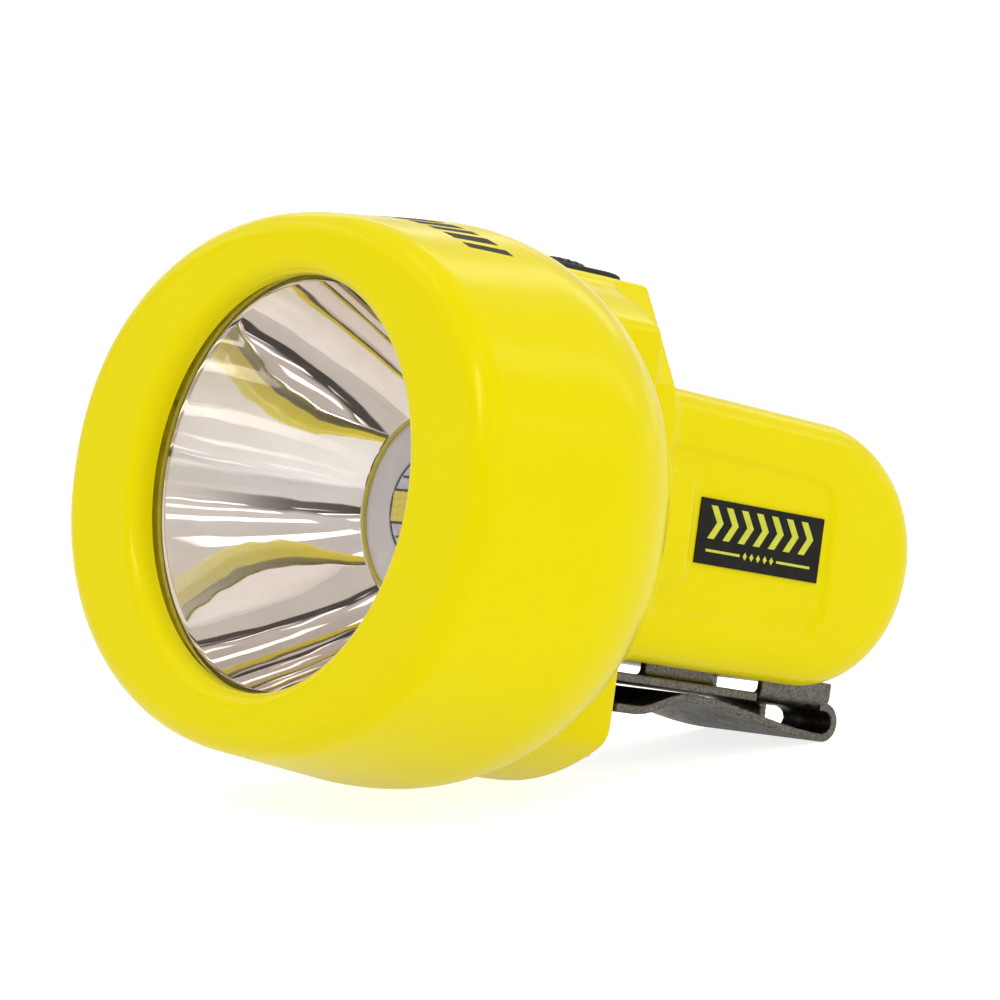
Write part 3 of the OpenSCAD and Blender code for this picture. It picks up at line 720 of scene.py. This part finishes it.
def housing_field(x, y, z):
    x = np.abs(x)
    r = np.hypot(x, z)
    # Battery case, with a slight draft on top and a shallow panel on each side
    rise = DRAFT - np.clip((y - DRAFT_Y) / DRAFT_LENGTH, 0, 1.4)
    body_z = z - rise * np.clip((z - BODY_Z) / BODY_HALF_H, 0, 1)
    panel = np.maximum(polygon2(y, z, PANEL), -polygon2(y, z, TONGUE))
    t = np.clip(0.5 - panel / PANEL_SLOPE, 0, 1)
    sunk_x = x + PANEL_DEPTH * t * t * (3 - 2 * t)
    case = tailed(sunk_x, y, body_z, BODY_HALF_W, BODY_HALF_H, BODY_EDGE_R)
    case = np.maximum(case, BAY_FRONT - y)
    # Collar: drum with flat sides, and the fins that carry the switch and the clip
    drum = smooth_max(r - FLANGE_R, x - DRUM_FLAT, BLEND_R)
    drum = slab(drum, y, FLANGE_BACK - 3, DRUM_BACK, 1.0)
    fins = slab(polygon2(x, z, fins_inner) - 1.0, y, FLANGE_BACK - 3, COLLAR_BACK, 0.7)
    solid = smooth_min(smooth_min(drum, fins, BLEND_R), case, BLEND_R)
    # The head turns on the flange, so nothing stands proud of it there
    solid = np.maximum(solid, -np.maximum(FLANGE_R - r, y - FLANGE_BACK - 0.2))
    neck = slab(r - NECK_R, y, NECK_FRONT, FLANGE_FRONT + 2, 0.4)
    groove = np.maximum(NECK_R - GROOVE_DEPTH - r, np.abs(y - GROOVE_Y) - GROOVE_HALF_W)
    flange = slab(r - FLANGE_R, y, FLANGE_FRONT, FLANGE_BACK, 0.4)
    solid = np.minimum(solid, np.minimum(np.maximum(neck, -groove), flange))
    # Hollows: neck, battery bay, switch room, core room, and the button's well and plunger hole
    solid = np.maximum(solid, -np.maximum(r - HOLLOW_R, y - BAY_FRONT))
    bay = tailed(x, y, z, BAY_HALF_W, BAY_HALF_H, BAY_EDGE_R)
    solid = np.maximum(solid, -np.maximum(bay, BAY_FRONT - 1 - y))
    for room in (SWITCH_ROOM, CORE_ROOM):
        solid = np.maximum(solid, -box3(x, y, z, *room))
    well = slot2(x, y, BUTTON_HALF_W + WELL_GAP, BUTTON_FRONT - WELL_GAP, BUTTON_BACK + WELL_GAP)
    solid = np.maximum(solid, -np.maximum(well, WELL_Z - z))
    return np.maximum(solid, -np.maximum(np.hypot(x, y - BUTTON_Y) - PLUNGER_R, PLUNGER_Z - z))


housing_step = 0.5
half = FLANGE_R + 1.6
low, high = (-half, NECK_FRONT - 1, -half), (half, 106, half)
points, faces = surface(housing_field, low, high, housing_step)
housing = piece(
    "housing_shell", points, faces, YELLOW, "housing",
    ("neck", "collar", "housing"), 50,
)
if len(faces) > HOUSING_FACES:
    slim(housing, HOUSING_FACES / len(faces))

# ---------- switch ----------

FRAME_HALF_W, FRAME_FRONT, FRAME_BACK, FRAME_TOP = 5.5, 33.2, 52.0, 36.4
FRAME_CORNER = 2.0
FRAME_GAP = 0.25
FRONT_SLOPE, FRONT_DROP = 3.4, 0.65
LEVEL_END, REAR_DROP = 48.2, 0.55
BUTTON_HALF_L, BUTTON_LOW = 5.6, 35.6
DOME, CROWN = 0.28, 0.02
RIB_PITCH, RIB_DEPTH = 1.5, 0.12
STEM_R, STEM_Z, STEM_HALF_H = 1.8, 33.2, 2.8


def surround_field(x, y, z):
    """Rubber surround: rises from the flange, runs level beside the button, falls to the rear."""
    rise = np.clip((y - FRAME_FRONT) / FRONT_SLOPE, 0, 1)
    fall = np.clip((y - LEVEL_END) / (FRAME_BACK - LEVEL_END), 0, 1)
    drop = FRONT_DROP * (1 - rise) ** 2 + REAR_DROP * fall * fall
    middle, half_l = (FRAME_FRONT + FRAME_BACK) / 2, (FRAME_BACK - FRAME_FRONT) / 2
    corner = np.where(y < middle, FRAME_HALF_W, FRAME_CORNER)
    plan = box2(x, y - middle, FRAME_HALF_W, half_l, corner)
    solid = slab(plan, z + drop, PLATFORM_Z - 0.2, FRAME_TOP, 0.45)
    solid = np.maximum(solid, PLATFORM_Z - 0.15 - z)
    front, end = BUTTON_FRONT - FRAME_GAP, BUTTON_BACK + FRAME_GAP
    return smooth_max(solid, -slot2(x, y, BUTTON_HALF_W + FRAME_GAP, front, end), 0.3)


def button_field(x, y, z):
    """Push button with a rounded, slightly domed top, on its plunger."""
    plan = slot2(x, y, BUTTON_HALF_W, BUTTON_FRONT, BUTTON_BACK)
    along = (y - BUTTON_Y) / BUTTON_HALF_L
    cap = slab(plan, z + DOME * along * along + CROWN * x * x, BUTTON_LOW, BUTTON_TOP, 0.55)
    ribs = RIB_DEPTH * np.cos(along * BUTTON_HALF_L * 2 * math.pi / RIB_PITCH)
    ribs = ribs * np.clip(1.2 - np.abs(along) * 1.5, 0, 1)
    top = np.clip(z - BUTTON_TOP + 0.8, 0, 0.5)
    cap = cap + (ribs * 2 + RIB_DEPTH) * top
    stem = np.maximum(np.hypot(x, y - BUTTON_Y) - STEM_R, np.abs(z - STEM_Z) - STEM_HALF_H)
    return np.minimum(cap, stem)


fine = 0.18
points, faces = surface(surround_field, (-6, 32.6, 34.6), (6, 52.6, 37.6), fine)
piece("switch_surround", points, faces, RUBBER, "housing", ("switch_frame",))
points, faces = surface(button_field, (-4, 36, 30), (4, 48.4, 38.5), fine)
piece("push_button", points, faces, RUBBER, "button", ("switch_button",))

# Spring under the button, with flat end turns
spring_low, spring_high = (spot("switch_spring", 0.5, 0.5, k) for k in (0, 1))
SPRING_R, SPRING_TURNS, WIRE_R = 2.6, 3.5, 0.2
FLAT_TURN = 0.6
around = np.linspace(0, 2 * math.pi, 10, endpoint=False)
out = SPRING_R + WIRE_R * np.cos(around)
coil_rings = []
for t in np.linspace(0, 1, 110):
    turn = 2 * math.pi * SPRING_TURNS * t
    rise = np.clip((t * SPRING_TURNS - FLAT_TURN) / (SPRING_TURNS - 2 * FLAT_TURN), 0, 1)
    middle_z = spring_low[2] + WIRE_R + rise * (spring_high[2] - spring_low[2] - 2 * WIRE_R)
    coil_rings.append(np.stack([
        out * math.cos(turn), BUTTON_Y + out * math.sin(turn), middle_z + WIRE_R * np.sin(around)
    ], 1))
points, faces = rings_to_mesh(coil_rings, caps=True)
spring = piece(
    "press_spring", points, faces, LOOKS["plated_steel"], None, ("switch_spring",)
)
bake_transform(spring)

# ---------- clip ----------

CLIP_HALF_W = 12.3
SHEET = 1.2
PLATE_Z = -18.8
BEND_Y, BEND_R = 94.9, 2.2
HINGE_Z = PLATE_Z - BEND_R
LEAF_FRONT, MOUTH_Y, MOUTH_Z = 54.8, 58.0, -23.1
CREST_Y, CREST_Z = 68.6, -20.4
TAB_TOP = -15.4
ROLL_R = 1.5
CUT_R = 0.18
PLATE_FRONT = 53.2
TONGUE_HALF_W, TONGUE_Y, TONGUE_HALF_L = 8, 52.2, 1.9
REAR_TAB, FRONT_TAB = (81.9, 95.6), (60.2, 73.3)
FRONT_TAB_INSET, FRONT_TAB_FOOT = 1.2, 0.9
NOTCH_Y, NOTCH_HALF_L = 87.6, 6.4
LANYARD_R = 2.4
FAR = -20


def leaf_z(y):
    """Height of the leaf's middle line: flat mouth, rise to the crest, long fall to the bend."""
    up = (1 - np.cos(math.pi * np.clip((y - MOUTH_Y) / (CREST_Y - MOUTH_Y), 0, 1))) / 2
    down = (1 - np.cos(math.pi * np.clip((y - CREST_Y) / (BEND_Y - CREST_Y), 0, 1))) / 2
    return MOUTH_Z + (CREST_Z - MOUTH_Z) * up + (HINGE_Z - BEND_R - CREST_Z) * down


def clip_field(x, y, z):
    """One strip of sheet: tongue, plate with two pairs of tabs, hairpin bend with a hole, leaf."""
    x = np.abs(x)
    half_t = SHEET / 2
    plate = slab(np.abs(z - PLATE_Z) - half_t, x, FAR, CLIP_HALF_W, CUT_R)
    plate = np.maximum(plate, np.maximum(PLATE_FRONT - y, y - BEND_Y - 0.01))
    tongue = np.maximum(np.abs(z - PLATE_Z) - half_t, x - TONGUE_HALF_W)
    tongue = np.maximum(tongue, np.abs(y - TONGUE_Y) - TONGUE_HALF_L)
    # Rear tab, rolled up from the plate's own edge
    turn_x, turn_z = CLIP_HALF_W - half_t - ROLL_R, PLATE_Z + ROLL_R
    rolled = np.where(
        (x > turn_x) & (z < turn_z),
        np.abs(np.hypot(x - turn_x, z - turn_z) - ROLL_R),
        np.where(z < turn_z, np.abs(z - PLATE_Z), np.abs(x - CLIP_HALF_W + half_t)),
    ) - half_t
    rear = np.maximum(rolled, np.maximum(turn_x - 0.5 - x, z - TAB_TOP))
    rear = slab(rear, y, *REAR_TAB, CUT_R)
    notch = np.maximum(turn_x - x, np.abs(y - NOTCH_Y) - NOTCH_HALF_L)
    plate = np.maximum(plate, -np.maximum(notch, np.abs(z - PLATE_Z) - 2))
    # Front tab, set in from the edge, with a fillet at its foot
    front = np.abs(x - CLIP_HALF_W + FRONT_TAB_INSET + half_t) - half_t
    front = np.maximum(front, np.maximum(PLATE_Z - z, z - TAB_TOP))
    front = slab(front, y, *FRONT_TAB, CUT_R)
    upper = np.minimum(smooth_min(plate, front, FRONT_TAB_FOOT), np.minimum(tongue, rear))
    away = np.hypot(y - BEND_Y, z - HINGE_Z)
    bend = slab(np.abs(away - BEND_R) - half_t, x, FAR, CLIP_HALF_W, CUT_R)
    bend = np.maximum(bend, BEND_Y - 0.01 - y)
    slope = (leaf_z(y + 0.05) - leaf_z(y - 0.05)) / 0.1
    leaf = np.abs(z - leaf_z(y)) / np.sqrt(1 + slope * slope) - half_t
    leaf = slab(leaf, x, FAR, CLIP_HALF_W, CUT_R)
    leaf = np.maximum(leaf, np.maximum(LEAF_FRONT - y, y - BEND_Y - 0.01))
    solid = np.minimum(np.minimum(upper, bend), leaf)
    hole = np.maximum(np.hypot(x, z - HINGE_Z) - LANYARD_R, BEND_Y + 0.5 - y)
    return np.maximum(solid, -hole)


clip_step = 0.27
points, faces = surface(clip_field, (-13, 49.8, -25), (13, 98.2, -14.9), clip_step)
clip = piece(
    "clip_strip", points, faces, STEEL, None, ("clip_base", "clip_leaf"), 45
)
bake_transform(clip)

# ---------- reflector skin and lamp ----------

FOCAL = 6.3
BOWL_FRONT_Y, BOWL_R, HOLE_R = 2.7, 27.8, 13.5
SKIN = 0.08


def bowl_y(r):
    return BOWL_FRONT_Y + (BOWL_R ** 2 - r * r) / (4 * FOCAL)


bowl_count = 288
inner = [(r - SKIN, bowl_y(r)) for r in np.linspace(BOWL_R, HOLE_R, 72)]
lip_y = bowl_y(HOLE_R)
lip = [(HOLE_R - SKIN, lip_y + 0.2), (HOLE_R - 0.02, lip_y + 0.25)]
outer = [(r - 0.02, bowl_y(r)) for r in np.linspace(HOLE_R, BOWL_R, 36)]
outer += [(BOWL_R + 0.1, BOWL_FRONT_Y - 0.1), (BOWL_R - 0.05, BOWL_FRONT_Y - 0.16)]
points, faces = rings_to_mesh(lathe(inner + lip + outer, bowl_count), closed_loop=True)
piece("reflector_skin", points, faces, CHROME, "head")

# Bare edge of the bowl's hole, which isn't metallised
edge_out, edge_in = HOLE_R - SKIN - 0.02, HOLE_R - 0.42
edge_profile = [
    (edge_out, lip_y - 0.05), (edge_in + 0.1, lip_y - 0.03), (edge_in, lip_y + 0.08),
    (edge_in, lip_y + 0.56), (edge_out, lip_y + 0.58),
]
points, faces = rings_to_mesh(lathe(edge_profile, bowl_count), closed_loop=True)
# It wears the seal's olive look, whose colour is painted shade
piece(
    "reflector_hole_edge", points, faces, LOOKS["seal_silicone"], "head"
)

led_front = spot("led_package", 0.5, 0, 0.5)[1]
led_back = spot("led_package", 0.5, 1, 0.5)[1]
LED_R = 7.4
CHIP_HALF_W, CHIP_HALF_H = 6.9, 2.05
CONTACT_HALF_W, CONTACT_Z = 5.6, 4.1
body_profile = [
    (LED_R, led_back), (LED_R, led_front + 0.2),
    (LED_R - 0.12, led_front + 0.05), (LED_R - 0.3, led_front),
    (6.75, led_front), (6.6, led_front + 0.12), (6.35, led_front + 0.12), (6.2, led_front - 0.02),
    (0.4, led_front - 0.02), (0.4, led_back),
]
points, faces = rings_to_mesh(lathe(body_profile, 96), closed_loop=True)
piece("led_housing", points, faces, RESIN, "head", ("led_package",), 50)


def outline_field(x, y, z):
    """Dark lines on the lamp: its round rim, the chip's sides, and a contact line beyond each."""
    r, across, up = np.hypot(x, z), np.abs(x), np.abs(z)
    rim = np.maximum(np.abs(r - LED_R) - 0.2, np.abs(y - led_front - 0.3) - 0.3)
    long_side = np.maximum(np.abs(up - CHIP_HALF_H - 0.2) - 0.15, across - CHIP_HALF_W + 0.1)
    ends = np.maximum(np.abs(across - CHIP_HALF_W - 0.1) - 0.06, up - CHIP_HALF_H - 0.2)
    contact = np.maximum(np.abs(up - CONTACT_Z) - 0.14, across - CONTACT_HALF_W)
    marks = np.minimum(np.minimum(long_side, ends), contact)
    marks = np.maximum(np.maximum(marks, r - LED_R), np.abs(y - led_front + 0.03) - 0.1)
    return np.minimum(rim, marks) - 0.02


outline_step = 0.12
low, high = (-7.8, led_front - 0.3, -7.8), (7.8, led_front + 0.7, 7.8)
points, faces = surface(outline_field, low, high, outline_step)
piece("led_outlines", points, faces, DARK_LINE, "head", crisp=50)

# ---------- prints ----------

PRINT_T, PRINT_SUNK = 0.035, 0.06


def prints(name, outlines, place, material, body, cells=(6, 6)):
    """Thin raised prints: outlines of four corners (u, v), which place puts on the surface."""
    points, faces = [], []
    n, m = cells
    s, t = np.meshgrid(np.linspace(0, 1, n + 1), np.linspace(0, 1, m + 1), indexing="ij")
    weights = (1 - s) * (1 - t), s * (1 - t), s * t, (1 - s) * t
    for corners in outlines:
        u, v = (sum(w * float(c[i]) for w, c in zip(weights, corners)) for i in (0, 1))
        base = len(points)
        for height in (PRINT_T, -PRINT_SUNK):
            points += list(np.stack(place(u.ravel(), v.ravel(), height), 1))
        count = (n + 1) * (m + 1)

        def at(i, j, layer=0):
            return base + layer * count + i * (m + 1) + j

        for i in range(n):
            for j in range(m):
                faces.append((at(i, j), at(i + 1, j), at(i + 1, j + 1), at(i, j + 1)))
                faces.append((at(i, j + 1, 1), at(i + 1, j + 1, 1), at(i + 1, j, 1), at(i, j, 1)))
        loop = [(i, 0) for i in range(n)] + [(n, j) for j in range(m)]
        loop += [(i, m) for i in range(n, 0, -1)] + [(0, j) for j in range(m, 0, -1)]
        for p, q in zip(loop, loop[1:] + loop[:1]):
            faces.append((at(*p, 1), at(*q, 1), at(*q), at(*p)))
    piece(name, points, faces, material, body, crisp=40)


def head_top(x, y, height):
    """Points over the top of the head's flaring side."""
    (grow0, y0), (grow1, y1) = SIDE_FRONT, SIDE_BACK
    grow = grow0 + (grow1 - grow0) * (y - y0) / (y1 - y0)
    w, h = HALF_W + grow, HALF_H + grow
    z = h * (1 - (np.abs(x) / w) ** OVAL_POWER) ** (1 / OVAL_POWER)
    nx = np.sign(x) * (np.abs(x) / w) ** (OVAL_POWER - 1) / w
    nz = (z / h) ** (OVAL_POWER - 1) / h
    size = np.hypot(nx, nz)
    return x + height * nx / size, y, z + height * nz / size


# Slanted bars on top of the head, wide and narrow in turn
MARK_FRONT, MARK_BACK, MARK_PITCH, MARK_SLANT = 8.8, 14.6, 3.7, 1.1
MARK_WIDE, MARK_NARROW, MARKS_PER_SIDE = 2.5, 1.7, 6
bars = []
for k in range(-MARKS_PER_SIDE, MARKS_PER_SIDE + 1):
    width = MARK_WIDE if k % 2 else MARK_NARROW
    x0 = k * MARK_PITCH - width / 2
    bars.append((
        (x0 - MARK_SLANT, MARK_FRONT), (x0 + width - MARK_SLANT, MARK_FRONT),
        (x0 + width + MARK_SLANT, MARK_BACK), (x0 + MARK_SLANT, MARK_BACK),
    ))
prints("head_top_marks", bars, head_top, INK, "head")

# Side labels: a row of chevrons, and under it two thin rules with small diamonds between
CHEVRONS, CHEVRON_PITCH, CHEVRON_H = 7, 2.95, 2.3
CHEVRON_LEAN, CHEVRON_W = 1.5, 1.25
ROW_HALF, ROW_UP = 10.2, 1.35
RULE_DOWN, RULE_IN, RULE_HALF_T = 2.6, 3.6, 0.18
DIAMOND_PITCH, DIAMOND_HALF_W, DIAMOND_HALF_H = 1.3, 0.4, 0.55
label_low, label_high = spot("side_labels", 0, 0, 0), spot("side_labels", 1, 1, 1)
label_y, label_z = (label_low[1] + label_high[1]) / 2, (label_low[2] + label_high[2]) / 2
marks = []
for k in range(CHEVRONS):
    u = label_y - ROW_HALF + k * CHEVRON_PITCH
    for side in (-1, 1):
        tip, foot = label_z + ROW_UP, label_z + ROW_UP + side * CHEVRON_H
        marks.append((
            (u + CHEVRON_LEAN, tip), (u + CHEVRON_LEAN + CHEVRON_W, tip),
            (u + CHEVRON_W, foot), (u, foot),
        ))
rule_z = label_z - RULE_DOWN
for u0, u1 in ((-ROW_HALF, -RULE_IN), (RULE_IN, ROW_HALF)):
    u0, u1, v0, v1 = label_y + u0, label_y + u1, rule_z - RULE_HALF_T, rule_z + RULE_HALF_T
    marks.append(((u0, v0), (u1, v0), (u1, v1), (u0, v1)))
for k in range(-2, 3):
    u = label_y + k * DIAMOND_PITCH
    marks.append((
        (u - DIAMOND_HALF_W, rule_z), (u, rule_z - DIAMOND_HALF_H),
        (u + DIAMOND_HALF_W, rule_z), (u, rule_z + DIAMOND_HALF_H),
    ))
for name, side in (("label_print_right", 1), ("label_print_left", -1)):
    def on_label(u, v, height, side=side):
        return side * (label_high[0] + height) + 0 * u, u, v

    prints(name, marks, on_label, LIME, "housing", (2, 2))

# ---------- camera, floor and light ----------

AZIMUTH, ELEVATION, ROLL = (math.radians(v) for v in (48.807, -2.677, 7.805))
SHIFT_X, SHIFT_Y, DISTANCE = -29.433, 2.293, 661.474
LENS_MM, SENSOR_MM = 180, 36
back = Vector((
    math.sin(AZIMUTH) * math.cos(ELEVATION),
    -math.cos(AZIMUTH) * math.cos(ELEVATION),
    math.sin(ELEVATION),
))
level = Vector((math.cos(AZIMUTH), math.sin(AZIMUTH), 0))
upright = back.cross(level)
right = math.cos(ROLL) * level + math.sin(ROLL) * upright
up = -math.sin(ROLL) * level + math.cos(ROLL) * upright
eye = (-SHIFT_X * right - SHIFT_Y * up + DISTANCE * back) * MM

lens = bpy.data.cameras.new("camera")
lens.lens, lens.sensor_width = LENS_MM, SENSOR_MM
lens.clip_end = 100
camera = bpy.data.objects.new("camera", lens)
bpy.context.scene.collection.objects.link(camera)
camera.matrix_world = Matrix.Translation(eye) @ Matrix((right, up, back)).transposed().to_4x4()
bpy.context.scene.camera = camera

# Light of the floor's own, as of a lit white table, and how much more of it the camera sees
FLOOR_GLOW, FLOOR_GLOW_SEEN = 0.36, 0.8


def stage_look():
    look = Look("floor_look", specular_ior_level=0.1, emission_color=(1, 1, 1, 1))
    seen = look.node("ShaderNodeLightPath").outputs["Is Camera Ray"]
    glow = look.spread(seen, 0, 1, FLOOR_GLOW, FLOOR_GLOW_SEEN)
    look.links.new(glow, look.shader.inputs["Emission Strength"])
    cloud = look.noise(60, 4.0)
    look.colour(look.mix(look.spread(cloud, 0.3, 0.7), (0.58, 0.58, 0.58), (0.62, 0.62, 0.62)))
    look.rough(look.spread(cloud, 0.3, 0.7, 0.8, 0.9))
    return look.material


# The flashlight lies on the rear edge of its collar's drum and on the clip's bend
REST_FRONT, REST_REAR = Vector((0, 45.22, -35.18)), Vector((0, 95.52, -23.73))
floor_along = (REST_REAR - REST_FRONT).normalized()
floor_across = Vector((1, 0, 0))
floor_up = floor_across.cross(floor_along)
FLOOR_HALF, FLOOR_CELLS, FLOOR_GAP = 6000, 6, 0.1
floor_n = 2 * FLOOR_CELLS + 1
floor_points = []
for i in range(floor_n):
    for j in range(floor_n):
        aside, onward = ((k / FLOOR_CELLS - 1) * FLOOR_HALF for k in (i, j))
        p = REST_FRONT + floor_across * aside + floor_along * onward
        floor_points.append(tuple(p - floor_up * FLOOR_GAP))
floor_faces = [
    (a, a + floor_n, a + floor_n + 1, a + 1)
    for a in (i * floor_n + j for i in range(floor_n - 1) for j in range(floor_n - 1))
]
floor_mesh = bpy.data.meshes.new("floor")
floor_mesh.from_pydata([[c * MM for c in p] for p in floor_points], [], floor_faces)
floor_mesh.materials.append(stage_look())
floor = bpy.data.objects.new("floor", floor_mesh)
bpy.context.scene.collection.objects.link(floor)


def softbox(name, place, target, width, height, power, lean=None):
    """A rectangular studio light that faces a target. A leaning one only gives a highlight."""
    data = bpy.data.lights.new(name, "AREA")
    data.shape, data.size, data.size_y = "RECTANGLE", width * MM, height * MM
    data.energy = power
    lamp = bpy.data.objects.new(name, data)
    bpy.context.scene.collection.objects.link(lamp)
    lamp.location = Vector(place) * MM
    turn = (Vector(target) - Vector(place)).to_track_quat("-Z", "Y")
    lamp.rotation_euler = (turn @ Quaternion((0, 0, 1), math.radians(lean or 0))).to_euler()
    # The mirror bowl shows the room and not the softboxes
    lamp.visible_glossy, lamp.visible_diffuse = lean is not None, lean is None


MIDDLE = (0, 40, 0)
softbox("key", (-500, -900, 900), MIDDLE, 700, 700, 2.6)
softbox("fill", (1100, -500, 300), MIDDLE, 900, 700, 2.2)
softbox("top", (0, 200, 1300), MIDDLE, 900, 900, 2.3)
# Thin highlight down the head's rounded front edge
softbox("streak", (99, -620, 337), (40, -2, 14), 40, 280, 1.0, -36)

world = bpy.data.worlds.new("studio")
bpy.context.scene.world = world
world.use_nodes = True
world.node_tree.nodes.clear()
sky = Tree(world.node_tree, "SMOOTHSTEP")

# Directions, as heights and shares of a unit sphere, where each part of the room starts and ends
LIGHTS_FROM, LIGHTS_FULL = 0.18, 0.24
ROW_RATE, ROW_IN, ROW_OUT = 1.1, 0.13, 0.16
GAP_RATE, GAP_IN, GAP_OUT = 0.55, 0.3, 0.33
BAND_LOW, BAND_HIGH = (0.10, 0.13), (0.24, 0.30)
BAND_FRONT = (-0.45, -0.15)
ROOM_LOW, ROOM_HIGH = (0.98, 0.95, 0.92), (0.80, 0.74, 0.70)
BAND_COLOUR, LIGHT_COLOUR, SEEN_COLOUR = (0.05, 0.035, 0.028), (3.0, 2.95, 2.8), (1.8, 1.8, 1.8)
ROOM_STRENGTH = 0.72

direction = sky.node("ShaderNodeTexCoord").outputs["Generated"]
parts = sky.node("ShaderNodeSeparateXYZ")
sky.links.new(direction, parts.inputs[0])
dx, dy, dz = parts.outputs
# A pale room whose ceiling has rows of strip lights, with a dim band below them towards the front
high = sky.math("MAXIMUM", dz, 0.08)
row = sky.fold(sky.math("DIVIDE", dx, high), ROW_RATE)
gap = sky.fold(sky.math("DIVIDE", dy, high), GAP_RATE)
strip = sky.math(
    "MULTIPLY",
    sky.spread(row, ROW_IN, ROW_OUT, 1.0, 0.0),
    sky.spread(gap, GAP_IN, GAP_OUT, 1.0, 0.0),
)
strip = sky.math("MULTIPLY", strip, sky.spread(dz, LIGHTS_FROM, LIGHTS_FULL))
room = sky.mix(sky.spread(dz, 0.05, 0.6), ROOM_LOW, ROOM_HIGH)
# The band's height wanders a little
wave = sky.node("ShaderNodeTexNoise")
wave.inputs["Scale"].default_value = 2.2
sky.links.new(direction, wave.inputs["Vector"])
wander = sky.math("MULTIPLY", sky.math("SUBTRACT", wave.outputs["Fac"], 0.5), 0.25)
height = sky.math("ADD", dz, wander)
dim = sky.math(
    "MULTIPLY", sky.spread(height, *BAND_LOW), sky.spread(height, *BAND_HIGH, 1.0, 0.0)
)
dim = sky.math("MULTIPLY", dim, sky.spread(dy, *BAND_FRONT, 1.0, 0.0))
room = sky.mix(dim, room, BAND_COLOUR)
room = sky.mix(strip, room, LIGHT_COLOUR)
seen = sky.node("ShaderNodeLightPath").outputs["Is Camera Ray"]
glow = sky.node("ShaderNodeBackground")
sky.links.new(sky.mix(seen, room, SEEN_COLOUR), glow.inputs["Color"])
glow.inputs["Strength"].default_value = ROOM_STRENGTH
sky.links.new(glow.outputs[0], sky.node("ShaderNodeOutputWorld").inputs["Surface"])

bpy.context.scene.view_settings.view_transform = "Standard"
bpy.context.scene.view_settings.look = "None"
